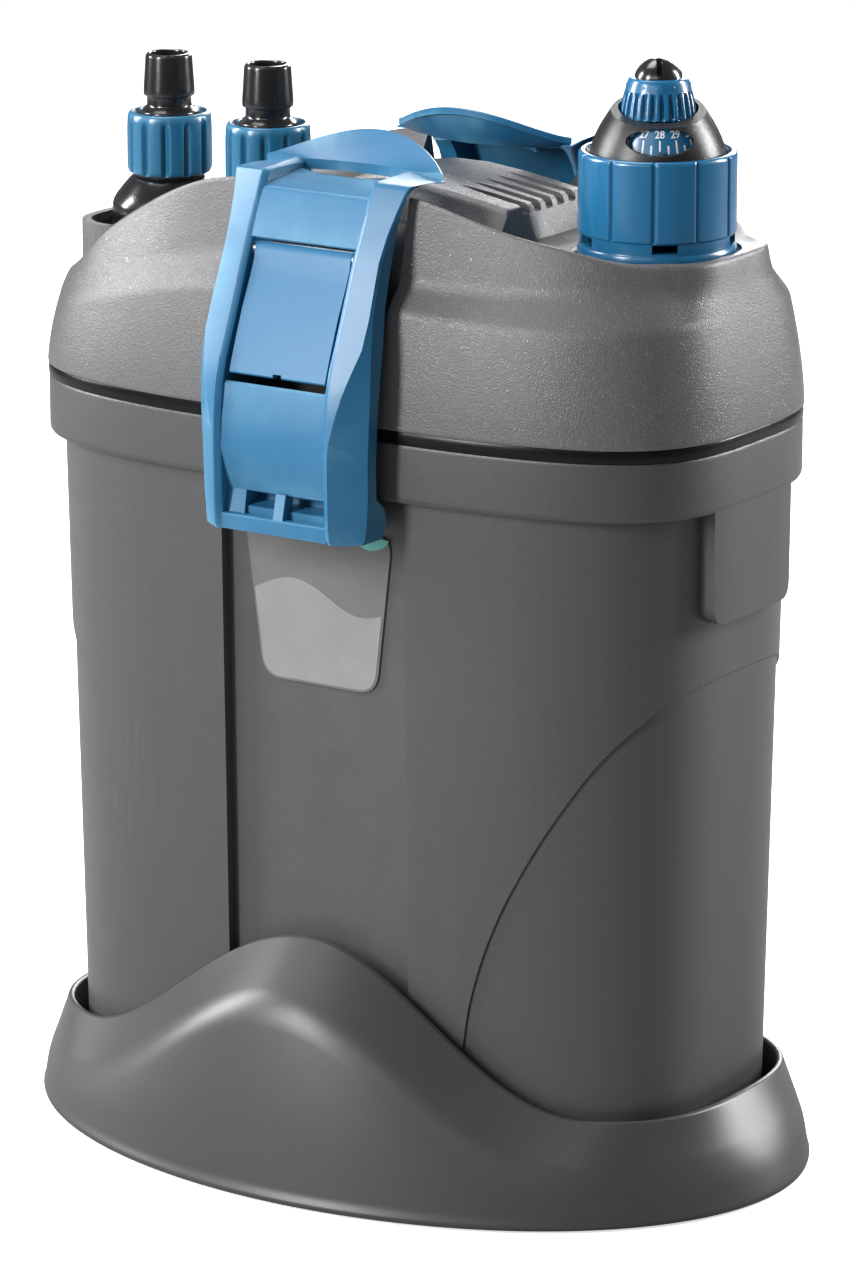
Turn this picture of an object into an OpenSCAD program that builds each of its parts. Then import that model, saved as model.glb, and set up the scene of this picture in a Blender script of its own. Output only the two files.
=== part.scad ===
// Canister filter with a screw-in heater: a tall oval container in a flared foot,
// a pump head held by two toggle latches, a twin hose connector and a heater
// with a temperature knob. All sizes in millimetres; +Z is up, -Y is the front.

/* [Overall size] */
// Length of the container rim, end to end
rim_len = 268; // [224:1:322]
// Width of the container rim, front to back
rim_wid = 142; // [118:1:171]
// Height of the container rim above the floor
rim_z = 262; // [218:1:315]
// How much longer the foot is than the rim
foot_more_len = 25.4; // [21:0.2:31]
// How much wider the foot is than the rim
foot_more_wid = 65.4; // [54:0.2:79]

/* [Container] */
// Wall thickness of the moulded shells
wall = 3; // [2.4:0.1:3.6]
// Height of the rim flange the latches hook under
flange_h = 20; // [16:0.5:24]
// Inward taper of the container wall from the flange to the floor
draft = 4.5; // [2:0.5:6]
// Half width of the recessed centre panel
recess_half = 37; // [30:0.5:38]
// Height of the seal band seen between container and head
seal_h = 4.7; // [3:0.1:6]

/* [Latches] */
// Half width of the latch between its rails
latch_half = 20.5; // [17:0.5:22]
// Clearance between a side rail and the side of the recess
latch_gap = 4; // [3:0.5:5]
// Radius of the steel latch pins
pin_r = 2; // [1.5:0.1:2.4]
// Radial running clearance of every turning pin
run_gap = 0.05; // [0.02:0.01:0.1]

/* [Hose connectors] */
// Distance between the two hose stubs
stub_gap = 41.8; // [38:0.2:50]
// Largest radius of a hose stub barb
barb_r = 8.9; // [7.4:0.1:10.6]
// Bore radius of a hose stub
stub_bore_r = 6.3; // [5.2:0.1:7]
// Outer radius of a union nut
nut_r = 14.8; // [13:0.1:17]

/* [Heater] */
// Outer radius of the heater's locking collar
collar_r = 26; // [22:0.5:30]
// Radius of the heater's glass tube
tube_r = 10.5; // [8.5:0.1:12.5]
// Outer radius of the temperature knob
knob_r = 12.6; // [10.5:0.1:13.4]

/* [Hidden] */
$fn = 64;
eps = 0.01;
hl = rim_len / 2;
hw = rim_wid / 2;
fl = (rim_len + foot_more_len) / 2;
fw = (rim_wid + foot_more_wid) / 2;
outline_n = 3.4;
outline_count = 88;
base_z = 8;
flange_z = rim_z - flange_h;
seal_z = rim_z + seal_h;
channel_half = recess_half + 1.5;
rail_wid = recess_half - latch_half - latch_gap;
pocket_half = 28;
hose_mid_x = -hl + 50.2;
hose_x = [hose_mid_x - stub_gap / 2, hose_mid_x + stub_gap / 2];
heater_x = hl - 40;
deck_z = seal_z + 54;
pump_x = -6;
pivot_y = -(hw + 1);
pivot_z = seal_z + 19;
top_y = -(hw - 2.5);
top_z = seal_z + 55;
recess_y = hw - 9;
recess_lean = 3.6;
view_turn = -57;
adapter_z = seal_z + 41;
basket_count = 3;
basket_low = base_z + wall + 4;
basket_step = (flange_z - 8 - basket_low) / basket_count;
water_bore_r = stub_bore_r + 0.5;

function clamp01(t) = min(1, max(0, t));
function ease(t) = 0.5 - 0.5 * cos(180 * clamp01(t));
function side_ease(x) = ease((abs(x) - 0.3 * hl) / (0.635 * hl));
function reach(t, n) = pow(pow(abs(cos(t)), n) + pow(abs(sin(t)), n), -1 / n);
function oval(a, b, n = outline_n) = [
    for (i = [0 : outline_count - 1])
        let (t = 360 * i / outline_count)
            [a * cos(t) * reach(t, n), b * sin(t) * reach(t, n)]
];
function lower_crease_z(x) = seal_z + 38 - (x < 0 ? 13 : 0) * side_ease(x);
function upper_crease_z(x) = seal_z + 47.5 - (x < 0 ? 20 : 0) * side_ease(x);
function crest_z(x) = seal_z + 76 - (x < 0 ? 44 : 20) * side_ease(x);
function valley_z(x) = seal_z + 62 - (x < 0 ? 44 : 8) * side_ease(x);
function foot_wave(x) = 0.5 + 0.5 * cos(180 * clamp01(abs(x) / (0.72 * fl)));
function foot_crease_z(x) = 19 + 47 * foot_wave(x);
function foot_edge_z(x) = 35 + 50 * foot_wave(x);
function ring_faces(low, high) = [
    for (i = [0 : outline_count - 1])
        let (j = (i + 1) % outline_count)
            each [[low + i, low + j, high + j], [low + i, high + j, high + i]]
];
function cap_faces(first) = [
    for (i = [0 : outline_count / 2 - 1])
        let (j = (outline_count - i) % outline_count)
            i == 0 ? [first, first + 1, first + outline_count - 1]
            : i == outline_count / 2 - 1 ? [first + i, first + i + 1, first + j]
            : [first + i, first + i + 1, first + j - 1, first + j]
];

module oval_prism(a, b, z0, z1, n = outline_n) {
    translate([0, 0, z0])
        linear_extrude(z1 - z0)
            polygon(oval(a, b, n));
}

// Extrudes a profile drawn as [y, z] from x0 to x1.
module side_slab(x0, x1) {
    translate([x0, 0, 0])
        rotate([90, 0, 90])
            linear_extrude(x1 - x0)
                children();
}

// Extrudes an outline drawn as [x, z] from y0 to y1.
module front_slab(y0, y1) {
    translate([0, y1, 0])
        rotate([90, 0, 0])
            linear_extrude(y1 - y0)
                children();
}

module tube(r_out, r_in, z0, z1) {
    translate([0, 0, z0])
        difference() {
            cylinder(h = z1 - z0, r = r_out);
            translate([0, 0, -1])
                cylinder(h = z1 - z0 + 2, r = r_in);
        }
}

module cross_pin(r, y, z, half) {
    translate([-half, y, z])
        rotate([0, 90, 0])
            cylinder(h = 2 * half, r = r);
}

module both_sides() {
    children();
    mirror([0, 1, 0])
        children();
}

// ---------- container and foot ----------

module recess_cut() {
    side_slab(-recess_half, recess_half)
        polygon([
            [-recess_y, flange_z], [-(recess_y - recess_lean), 0],
            [-(hw + 9), 0], [-(hw + 9), flange_z]
        ]);
    translate([-channel_half, -(hw + 9), flange_z])
        cube([2 * channel_half, 9 + 5, rim_z]);
}

module container() {
    color([0.24, 0.24, 0.25])
        difference() {
            union() {
                hull() {
                    oval_prism(hl - 5 - draft, hw - 3.5 - draft, base_z, base_z + 0.5);
                    oval_prism(hl - 5, hw - 3.5, rim_z - 0.5, rim_z);
                }
                oval_prism(hl, hw, flange_z, rim_z);
                intersection() {
                    oval_prism(hl, hw, flange_z - 39, flange_z + 1);
                    translate([-hl, -25, flange_z - 39])
                        cube([2 * hl, 50, 40]);
                }
            }
            both_sides()
                recess_cut();
            oval_prism(hl - 5 - draft - wall, recess_y - recess_lean - wall, base_z + wall, rim_z + 1);
        }
}

module foot() {
    thin = 2.6;
    outer = [
        for (p = oval(fl, fw, 2.0)) [p[0], p[1], 1.2],
        for (p = oval(fl - 0.4, fw - 0.8, 2.0)) [p[0], p[1], 4],
        for (p = oval(fl - 6, fw - 12.2, 2.25)) [p[0], p[1], foot_crease_z(p[0])],
        for (p = oval(hl - 2, hw - 1, 3.1)) [p[0], p[1], foot_edge_z(p[0])],
        for (p = oval(hl - 2 - thin, hw - 1 - thin, 3.2)) [p[0], p[1], foot_edge_z(p[0]) - 1],
        for (p = oval(fl - 6 - thin, fw - 12.2 - thin, 2.25)) [p[0], p[1], foot_crease_z(p[0]) - 3],
        for (p = oval(fl - thin - 1, fw - thin - 1, 2.0)) [p[0], p[1], 1.2]
    ];
    rings = 7;
    faces = [
        for (k = [0 : rings - 1])
            each ring_faces(k * outline_count, ((k + 1) % rings) * outline_count)
    ];
    color([0.26, 0.26, 0.27]) {
        polyhedron(points = outer, faces = [for (f = faces) [f[2], f[1], f[0]]]);
        difference() {
            oval_prism(fl - 3.6, fw - 3.9, 4.4, 7.6, 2.0);
            for (sx = [-1, 1], sy = [-1, 1])
                translate([sx * (hl - 44), sy * 56, 0])
                    cylinder(h = 20, r = 4);
        }
    }
}

module foot_pads() {
    color([0.08, 0.08, 0.08])
        for (sx = [-1, 1], sy = [-1, 1])
            translate([sx * (hl - 44), sy * 56, 0]) {
                cylinder(h = 4.3, r = 9);
                cylinder(h = 7, r = 3.9);
            }
}

module badge() {
    lean = atan(recess_lean / flange_z);
    badge_h = 58;
    color([0.33, 0.32, 0.32])
        translate([0, -recess_y - 0.05, flange_z])
            rotate([-lean, 0, 0])
                front_slab(-0.8, 0)
                    hull() {
                        translate([-29, -16])
                            square([58, 1]);
                        translate([-11.5, -badge_h - 4])
                            circle(r = 5);
                        translate([11.5, -badge_h - 4])
                            circle(r = 5);
                    }
}

module rim_seal() {
    color([0.03, 0.03, 0.03])
        difference() {
            oval_prism(hl + 0.6, hw + 0.5, rim_z, seal_z);
            oval_prism(hl - 8, hw - 12, rim_z - 1, seal_z + 1);
            both_sides()
                translate([-channel_half, -(hw + 9), rim_z - 1])
                    cube([2 * channel_half, 14, seal_h + 2]);
        }
}

// ---------- pump head ----------

module head_outside() {
    rings = 6;
    points = [
        for (p = oval(hl + 0.3, hw + 0.2)) [p[0], p[1], seal_z],
        for (p = oval(hl + 0.4, hw + 0.4)) [p[0], p[1], seal_z + 12],
        for (p = oval(hl - 2.5, hw - 2.5, 3.2)) [p[0], p[1], lower_crease_z(p[0])],
        for (p = oval(hl - 8, hw - 8, 3.1)) [p[0], p[1], upper_crease_z(p[0])],
        for (p = oval(hl - 15, hw - 15, 2.9)) [p[0], p[1], crest_z(p[0])],
        for (p = oval(hl - 26, hw - 31, 2.9)) [p[0], p[1], valley_z(p[0])]
    ];
    sides = [
        for (k = [0 : rings - 2])
            each ring_faces(k * outline_count, (k + 1) * outline_count)
    ];
    top = cap_faces((rings - 1) * outline_count);
    polyhedron(
        points = points,
        faces = concat(
            [for (f = sides) [f[2], f[1], f[0]]],
            [for (f = top) [for (i = [len(f) - 1 : -1 : 0]) f[i]]],
            [[for (i = [0 : outline_count - 1]) i]]
        )
    );
}

module latch_channel() {
    side_slab(-channel_half, channel_half)
        polygon([
            [-(hw + 9), seal_z - 1], [-(hw - 13), seal_z - 1], [-(hw - 13), seal_z + 51],
            [-(hw - 35), seal_z + 69], [-(hw - 50), seal_z + 73], [-(hw - 52), seal_z + 90],
            [-(hw + 9), seal_z + 90]
        ]);
}

module hose_pocket() {
    hull()
        for (sx = [-1, 1], sy = [-1, 1])
            translate([hose_mid_x + sx * 32.5, sy * (pocket_half - 14), adapter_z - 20])
                cylinder(h = 60, r = 14);
}

module hose_tower() {
    hull()
        for (sx = [-1, 1], sy = [-1, 1])
            translate([hose_mid_x + sx * 33.3, sy * (pocket_half - 12.5), seal_z + 20])
                cylinder(h = 26, r = 16.5);
}

module spine() {
    low = valley_z(0.3 * hl) - 12;
    x0 = -0.16 * hl;
    x1 = 0.39 * hl;
    front_slab(-24, 24)
        polygon([
            [x0, low], [x0, seal_z + 70], [0, seal_z + 76.5], [0.2 * hl, seal_z + 76],
            [x1, seal_z + 68], [x1 + 1, low]
        ]);
}

module spine_grooves() {
    for (i = [-2 : 2])
        translate([0.21 * hl, i * 7.2 + 1, seal_z + 75.5])
            rotate([0, 15.5, 0])
                translate([0, -1.3, 0])
                    cube([0.3 * hl, 2.6, 6]);
}

module head_lug() {
    side_slab(-12.6, 12.6)
        hull() {
            translate([pivot_y, pivot_z])
                circle(r = 4.2);
            translate([-(hw - 14), pivot_z - 4.2])
                square([2, 8.4]);
        }
}

module head_shell() {
    color([0.36, 0.35, 0.34])
        difference() {
            union() {
                difference() {
                    union() {
                        head_outside();
                        hose_tower();
                        spine();
                        translate([heater_x, 0, seal_z + 41])
                            cylinder(h = 14, r1 = collar_r + 10, r2 = collar_r + 7);
                    }
                    both_sides()
                        latch_channel();
                }
                both_sides()
                    head_lug();
            }
            spine_grooves();
            hose_pocket();
            both_sides()
                cross_pin(pin_r, pivot_y, pivot_z, 20);
            oval_prism(hl - 9, hw - 17, seal_z - 1, seal_z + 15);
            translate([pump_x, 0, seal_z])
                cylinder(h = 56, r = 30);
            translate([heater_x, 0, seal_z]) {
                cylinder(h = 90, r = 18);
                translate([0, 0, 47])
                    cylinder(h = 90, r = collar_r + 1);
            }
            for (x = hose_x)
                translate([x, 0, seal_z])
                    cylinder(h = 60, r = 9.05);
            translate([0, 30, seal_z + 8])
                rotate([-90, 0, 0])
                    cylinder(h = 60, r = 4.05);
            screw_spots()
                cylinder(h = 16, r = 1.55);
        }
}

module screw_spots() {
    for (sx = [-1, 1], sy = [-1, 1])
        translate([sx * (hl - 48), sy * (hw - 15.2), seal_z + 5])
            children();
}

module head_plate() {
    color([0.12, 0.12, 0.13])
        difference() {
            union() {
                oval_prism(hl - 9.4, hw - 17.4, seal_z - 0.7, seal_z + 2.8);
                oval_prism(hl - 16, hw - 20, rim_z - 6, seal_z - 0.7 + eps);
                for (x = hose_x)
                    translate([x, 0, seal_z])
                        cylinder(h = 14.4, r = 12);
                translate([pump_x, 0, rim_z - 20])
                    cylinder(h = 20, r = 23);
            }
            oval_prism(hl - 18, hw - 22, rim_z - 7, seal_z - 3.5);
            for (x = hose_x)
                translate([x, 0, rim_z - 10])
                    cylinder(h = 60, r = 9.05);
            translate([pump_x, 0, rim_z - 21])
                cylinder(h = 40, r = 19);
            translate([heater_x, 0, rim_z - 10])
                cylinder(h = 60, r = 14);
        }
}

module head_screws() {
    color([0.7, 0.7, 0.72])
        for (sx = [-1, 1], sy = [-1, 1])
            translate([sx * (hl - 48), sy * (hw - 15.2), seal_z + 5.2])
                cylinder(h = 14, r = 1.5);
}

module motor_housing() {
    color([0.1, 0.1, 0.11])
        translate([pump_x, 0, 0])
            difference() {
                union() {
                    translate([0, 0, seal_z + 3])
                        cylinder(h = 50, r = 27);
                    translate([0, 0, seal_z - 2])
                        cylinder(h = 6, r = 18.9);
                }
                translate([0, 0, seal_z - 3])
                    cylinder(h = 45, r = 10.5);
                translate([0, 0, seal_z + 41])
                    cylinder(h = 6, r = 3.9);
            }
}

module chamber_cover() {
    color([0.12, 0.12, 0.13])
        translate([pump_x, 0, rim_z - 24])
            difference() {
                cylinder(h = 3.8, r = 23);
                translate([0, 0, -1])
                    for (a = [0 : 45 : 315])
                        rotate(a)
                            translate([11, -1.5, 0])
                                cube([7, 3, 6]);
                translate([0, 0, 1.4])
                    cylinder(h = 4, r = 3.9);
            }
}

module impeller() {
    color([0.55, 0.56, 0.58])
        translate([pump_x, 0, 0])
            difference() {
                union() {
                    translate([0, 0, seal_z - 1])
                        cylinder(h = 36, r = 9);
                    translate([0, 0, rim_z - 15]) {
                        for (a = [0 : 60 : 300])
                            rotate(a)
                                translate([0, -0.8, 0])
                                    cube([15.5, 1.6, 15]);
                        cylinder(h = 21, r = 4);
                    }
                    translate([0, 0, seal_z - 5])
                        cylinder(h = 1.5, r = 15);
                }
                translate([0, 0, rim_z - 30])
                    cylinder(h = 80, r = 1.5 + run_gap);
            }
}

module impeller_shaft() {
    color([0.9, 0.9, 0.88])
        translate([pump_x, 0, rim_z - 21])
            cylinder(h = seal_z + 45 - rim_z + 21, r = 1.5);
}

module shaft_bushes() {
    color([0.05, 0.05, 0.05])
        translate([pump_x, 0, 0]) {
            tube(3.85, 1.5, rim_z - 22, rim_z - 16.5);
            tube(3.85, 1.5, seal_z + 41, seal_z + 46);
        }
}

module cable_gland() {
    color([0.06, 0.06, 0.06])
        translate([0, 0, seal_z + 8])
            rotate([-90, 0, 0])
                difference() {
                    union() {
                        translate([0, 0, hw - 21])
                            cylinder(h = 9.5, r = 4);
                        translate([0, 0, hw - 12.5])
                            cylinder(h = 2, r = 5.5);
                    }
                    cylinder(h = 200, r = 2.2);
                }
}

// ---------- toggle latches ----------

module head_hinge_pins() {
    color([0.75, 0.75, 0.76])
        both_sides()
            cross_pin(pin_r, pivot_y, pivot_z, 18);
}

module latch_link() {
    color([0.16, 0.36, 0.58])
        difference() {
            union() {
                side_slab(-latch_half + 0.9, latch_half - 0.9)
                    polygon([
                        [-(hw + 15.5), seal_z + 15.6], [-(hw + 8), seal_z + 36],
                        [-(hw + 0.6), seal_z + 52.5], [-(hw - 4), seal_z + 53],
                        [-(hw + 4.6), seal_z + 34], [-(hw + 11.6), seal_z + 15.6]
                    ]);
                cross_pin(3.6, top_y, top_z, latch_half - 0.9);
                for (x = [-17.6, 12.9])
                    side_slab(x, x + 4.7)
                        hull() {
                            translate([pivot_y, pivot_z])
                                circle(r = 4.2);
                            translate([-(hw + 12.5), seal_z + 16.5])
                                square([1, 12]);
                        }
            }
            cross_pin(pin_r + run_gap, pivot_y, pivot_z, 30);
            cross_pin(pin_r + run_gap, top_y, top_z, 30);
        }
}

module latch_rail() {
    intersection() {
        side_slab(latch_half, latch_half + 20)
            polygon([
                [-(hw + 18.5), rim_z - 33], [-(hw + 20), rim_z], [-(hw + 19), rim_z + 18],
                [-(hw + 12.5), rim_z + 34], [-(hw + 2.5), rim_z + 60], [-(hw - 9), rim_z + 84],
                [-(hw - 31), rim_z + 85.5], [-(hw - 31), rim_z + 79], [-(hw - 9), rim_z + 60],
                [-(hw - 5), rim_z + 38], [-(hw - 3), rim_z + 20], [-(hw - 3), rim_z - 33]
            ]);
        front_slab(-200, 0)
            polygon([
                [latch_half, rim_z - 34], [latch_half + rail_wid - 1.5, rim_z - 34],
                [latch_half + rail_wid, rim_z], [latch_half + rail_wid - 0.5, rim_z + 23],
                [latch_half + rail_wid - 3, rim_z + 56], [latch_half + rail_wid + 2, rim_z + 86],
                [latch_half, rim_z + 86]
            ]);
    }
}

module latch_grip() {
    ring_y = -(hw + 1.5);
    intersection() {
        translate([0, ring_y, rim_z + 82])
            rotate_extrude($fn = 128)
                polygon([[38, 0], [49.5, 9.5], [49.5, 13], [48, 13], [38, 4]]);
        side_slab(-latch_half - rail_wid - 3, latch_half + rail_wid + 3)
            polygon([
                [-(hw - 15), rim_z + 78], [-(hw - 50), rim_z + 78], [-(hw - 50), rim_z + 96.5],
                [-(hw - 15), rim_z + 86.5]
            ]);
    }
}

module latch_frame() {
    color([0.19, 0.4, 0.62])
        difference() {
            union() {
                latch_rail();
                mirror([1, 0, 0])
                    latch_rail();
                latch_grip();
                side_slab(-latch_half - 1, latch_half + 1)
                    polygon([
                        [-(hw - 2), rim_z + 65], [-(hw - 8.5), rim_z + 79.5],
                        [-(hw - 23), rim_z + 83.5], [-(hw - 23), rim_z + 80.5],
                        [-(hw - 11), rim_z + 77], [-(hw - 6), rim_z + 65]
                    ]);
                side_slab(-latch_half - 1, latch_half + 1)
                    polygon([
                        [-(hw + 15.5), rim_z - 19], [-(hw + 17), rim_z - 4],
                        [-(hw + 15.5), rim_z + 17.3], [-(hw + 12.5), rim_z + 17.3],
                        [-(hw + 14), rim_z - 4], [-(hw + 12.5), rim_z - 19]
                    ]);
                side_slab(-latch_half - 1, latch_half + 1)
                    polygon([
                        [-(hw + 17), rim_z - 33], [-(hw + 17), rim_z - 26],
                        [-(hw + 14), rim_z - 26], [-(hw + 14), rim_z - 29],
                        [-(hw - 3), rim_z - 29], [-(hw - 3), flange_z - 0.4],
                        [-(hw - 7.4), flange_z - 0.4], [-(hw - 7.4), rim_z - 33]
                    ]);
                side_slab(-1.8, 1.8)
                    polygon([
                        [-(hw + 17), rim_z - 27], [-(hw + 15.8), rim_z - 18],
                        [-(hw + 12.8), rim_z - 18], [-(hw + 13), rim_z - 27]
                    ]);
            }
            cross_pin(pin_r, top_y, top_z, latch_half + 4);
        }
}

module latch_pin() {
    color([0.75, 0.75, 0.76])
        cross_pin(pin_r, top_y, top_z, latch_half + 3.8);
}

// ---------- hose connectors ----------

module hose_adapter() {
    dome = [
        [0, adapter_z - 6], [23.6, adapter_z - 6], [23.6, adapter_z + 3], [20.6, adapter_z + 5],
        [20.6, adapter_z + 8], [19.2, adapter_z + 9], [18.6, adapter_z + 12],
        [14, adapter_z + 18], [12.6, adapter_z + 19.4], [0, adapter_z + 19.4]
    ];
    color([0.05, 0.05, 0.05])
        difference() {
            union() {
                hull()
                    for (sx = [-1, 1], sy = [-1, 1])
                        translate([hose_mid_x + sx * 31.9, sy * (pocket_half - 15), adapter_z - 19.8])
                            cylinder(h = 16, r = 14);
                for (x = hose_x)
                    translate([x, 0, 0]) {
                        rotate_extrude()
                            polygon(dome);
                        translate([0, 0, adapter_z + 19])
                            cylinder(h = 13, r = 12);
                        translate([0, 0, seal_z - 4])
                            cylinder(h = 40, r = 9);
                    }
            }
            for (x = hose_x)
                translate([x, 0, 0]) {
                    translate([0, 0, seal_z - 5])
                        cylinder(h = 100, r = water_bore_r);
                    tube(10, 8, seal_z + 4, seal_z + 7.2);
                }
        }
}

module adapter_seals() {
    color([0.4, 0.1, 0.08])
        for (x = hose_x)
            translate([x, 0, 0])
                tube(8.95, 8.05, seal_z + 4.2, seal_z + 7);
}

module union_nut(x) {
    z0 = adapter_z + 20.5;
    color([0.13, 0.33, 0.56])
        translate([x, 0, 0])
            difference() {
                union() {
                    translate([0, 0, z0])
                        cylinder(h = 2, r1 = nut_r - 1.6, r2 = nut_r);
                    translate([0, 0, z0 + 2])
                        cylinder(h = 18.6, r = nut_r);
                    translate([0, 0, z0 + 20.6])
                        cylinder(h = 1, r1 = nut_r, r2 = nut_r - 0.8);
                }
                for (a = [0 : 30 : 330])
                    rotate(a)
                        translate([nut_r + 1.5, 0, z0 + 2.6])
                            cylinder(h = 15.5, r = 2.5, $fn = 24);
                translate([0, 0, z0 - 1])
                    cylinder(h = 15.4, r = 12.35);
                translate([0, 0, z0 - 1])
                    cylinder(h = 30, r = 10.3);
                translate([0, 0, z0 + 17])
                    cylinder(h = 9, r1 = 10.3, r2 = 16.5);
            }
}

module hose_stub(x) {
    z0 = adapter_z + 32.4;
    neck = barb_r - 1.1;
    color([0.04, 0.04, 0.04])
        translate([x, 0, 0])
            rotate_extrude()
                polygon([
                    [stub_bore_r, z0], [11.9, z0], [11.9, z0 + 2], [10, z0 + 2.2],
                    [10, z0 + 9.6], [neck + 1.5, z0 + 10.6], [neck, z0 + 11.6],
                    [neck, z0 + 15], [barb_r, z0 + 15.4], [barb_r, z0 + 17],
                    [barb_r - 0.9, z0 + 29], [barb_r - 2, z0 + 30], [stub_bore_r, z0 + 30]
                ]);
}

// ---------- heater ----------

module heater_collar() {
    z0 = deck_z - 6.2;
    color([0.08, 0.3, 0.62])
        translate([heater_x, 0, 0])
            difference() {
                union() {
                    translate([0, 0, z0])
                        cylinder(h = 9.4, r = collar_r + 0.4);
                    translate([0, 0, z0 + 9.4])
                        cylinder(h = 29.6, r = collar_r - 0.5);
                    intersection() {
                        translate([0, 0, z0 + 9.4])
                            cylinder(h = 27, r = collar_r + 0.2);
                        for (a = [0 : 30 : 330])
                            rotate(a + 10)
                                translate([10, -4, z0])
                                    cube([30, 8, 60]);
                    }
                }
                translate([0, 0, z0 - 1])
                    cylinder(h = 60, r = 21.8);
                translate([0, 0, z0 - 1])
                    cylinder(h = 7, r = 23.4);
                for (a = [-147, -57, 33, 123])
                    rotate(a)
                        translate([15, -4.2, z0 + 6.4])
                            cube([20, 8.4, 3]);
            }
}

module heater_head() {
    z0 = deck_z + 33.2;
    color([0.05, 0.05, 0.05])
        translate([heater_x, 0, 0])
            difference() {
                union() {
                    translate([0, 0, deck_z - 6.5])
                        cylinder(h = z0 - deck_z + 7, r = 21.3);
                    translate([0, 0, seal_z + 28])
                        cylinder(h = deck_z - seal_z - 34, r = 16.5);
                    for (a = [20 : 90 : 290])
                        rotate(a)
                            translate([20, -4, deck_z - 5])
                                cube([3, 8, 4]);
                    translate([0, 0, z0])
                        rotate_extrude()
                            polygon([
                                [0, 0], [22.5, 0], [22.3, 1.5], [20.6, 7], [18.4, 11.5],
                                [15.4, 16.4], [14.2, 19], [0, 19]
                            ]);
                }
                translate([0, 0, z0 + 2])
                    cylinder(h = 9.6, r1 = 19.9, r2 = 16.6);
                rotate(view_turn)
                    translate([10, -11.4, z0 + 2.2])
                        cube([20, 22.8, 8.2]);
                translate([0, 0, z0 + 8])
                    cylinder(h = 30, r = 5.05);
                translate([0, 0, z0 + 12.8])
                    cylinder(h = 30, r = knob_r + 0.5);
                translate([0, 0, seal_z + 27])
                    cylinder(h = 36, r = tube_r);
            }
}

module heater_dial() {
    z0 = deck_z + 33.2;
    color([0.1, 0.33, 0.62])
        translate([heater_x, 0, 0])
            union() {
                translate([0, 0, z0 + 2.3])
                    cylinder(h = 9, r1 = 19.4, r2 = 16.3);
                translate([0, 0, z0 + 11])
                    cylinder(h = 3, r = 5);
            }
}

module heater_knob() {
    z0 = deck_z + 47.2;
    color([0.1, 0.33, 0.62])
        translate([heater_x, 0, z0])
            difference() {
                union() {
                    cylinder(h = 4, r = knob_r);
                    translate([0, 0, 4])
                        cylinder(h = 8.4, r1 = knob_r, r2 = knob_r - 3.2);
                }
                for (a = [0 : 15 : 345])
                    rotate(a)
                        translate([knob_r + 0.9, 0, 1])
                            rotate([0, -14, 0])
                                cylinder(h = 14, r = 1.5, $fn = 12);
            }
}

module heater_cap() {
    z0 = deck_z + 59.6;
    color([0.05, 0.05, 0.05])
        translate([heater_x, 0, z0])
            difference() {
                rotate_extrude()
                    polygon([[0, 0], [8.2, 0], [7.6, 2], [5.6, 4.6], [2.4, 6.2], [0, 6.4]]);
                rotate(view_turn + 90)
                    translate([-10, -1, 3.4])
                        cube([20, 2, 5]);
            }
}

module heater_tube() {
    color([0.75, 0.82, 0.85, 0.4])
        translate([heater_x, 0, 0]) {
            tube(tube_r, tube_r - 1.2, base_z + 42, seal_z + 40);
            translate([0, 0, base_z + 40])
                cylinder(h = 2 + eps, r = tube_r);
        }
}

module heater_element() {
    color([0.75, 0.42, 0.2])
        translate([heater_x, 0, 0])
            difference() {
                union() {
                    translate([0, 0, base_z + 46])
                        cylinder(h = 120, r = 6);
                    for (k = [0 : 15])
                        translate([0, 0, base_z + 52 + 7 * k])
                            cylinder(h = 3, r = 7.2);
                }
                translate([0, 0, base_z + 40])
                    cylinder(h = 140, r = 4);
            }
}

module heater_seal() {
    color([0.4, 0.1, 0.08])
        translate([heater_x, 0, 0])
            tube(17.9, 16.6, deck_z - 21, deck_z - 18);
}

// ---------- filter baskets and media ----------

module basket_outline(shrink) {
    difference() {
        polygon(oval(hl - 17 - shrink, hw - 21 - shrink));
        translate([hose_x[0] + 2, 0])
            circle(r = 15 + shrink);
        translate([heater_x, 0])
            circle(r = tube_r + 4 + shrink);
        translate([heater_x, -tube_r - 4 - shrink])
            square([80, 2 * (tube_r + 4 + shrink)]);
        translate([hose_x[0] + 2 - 80, -15 - shrink])
            square([80, 2 * (15 + shrink)]);
    }
}

module basket(k) {
    z0 = basket_low + k * basket_step;
    color([0.14, 0.14, 0.15])
        translate([0, 0, z0])
            difference() {
                linear_extrude(basket_step - 1)
                    basket_outline(0);
                translate([0, 0, 2])
                    linear_extrude(basket_step)
                        basket_outline(1.8);
                for (ix = [-6 : 6])
                    for (iy = [-2 : 2])
                        translate([ix * 0.09 * hl - 3, iy * 0.2 * hw - 2.5, -1])
                            cube([6, 5, 4]);
            }
}

module filling(k, low, high) {
    z0 = basket_low + k * basket_step;
    translate([0, 0, z0 + low])
        linear_extrude(high - low)
            basket_outline(2.6);
}

module foam_coarse() {
    color([0.1, 0.25, 0.5])
        filling(0, 2.2, basket_step - 8);
}

module bio_media() {
    color([0.7, 0.62, 0.5])
        filling(1, 2.2, basket_step - 8);
}

module foam_fine() {
    color([0.85, 0.87, 0.85])
        filling(basket_count - 1, 2.2, basket_step - 8);
}

module intake_pipe() {
    color([0.14, 0.14, 0.15])
        translate([hose_x[0], 0, 0])
            tube(8, water_bore_r, base_z + wall + 18, seal_z - 4.4);
}

module intake_strainer() {
    color([0.14, 0.14, 0.15])
        translate([hose_x[0], 0, base_z + wall])
            difference() {
                cylinder(h = 17.6, r = 9);
                translate([0, 0, 3])
                    cylinder(h = 30, r = 7);
                for (a = [0 : 45 : 135])
                    rotate(a)
                        translate([-20, -1, 4])
                            cube([40, 2, 9]);
            }
}

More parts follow.
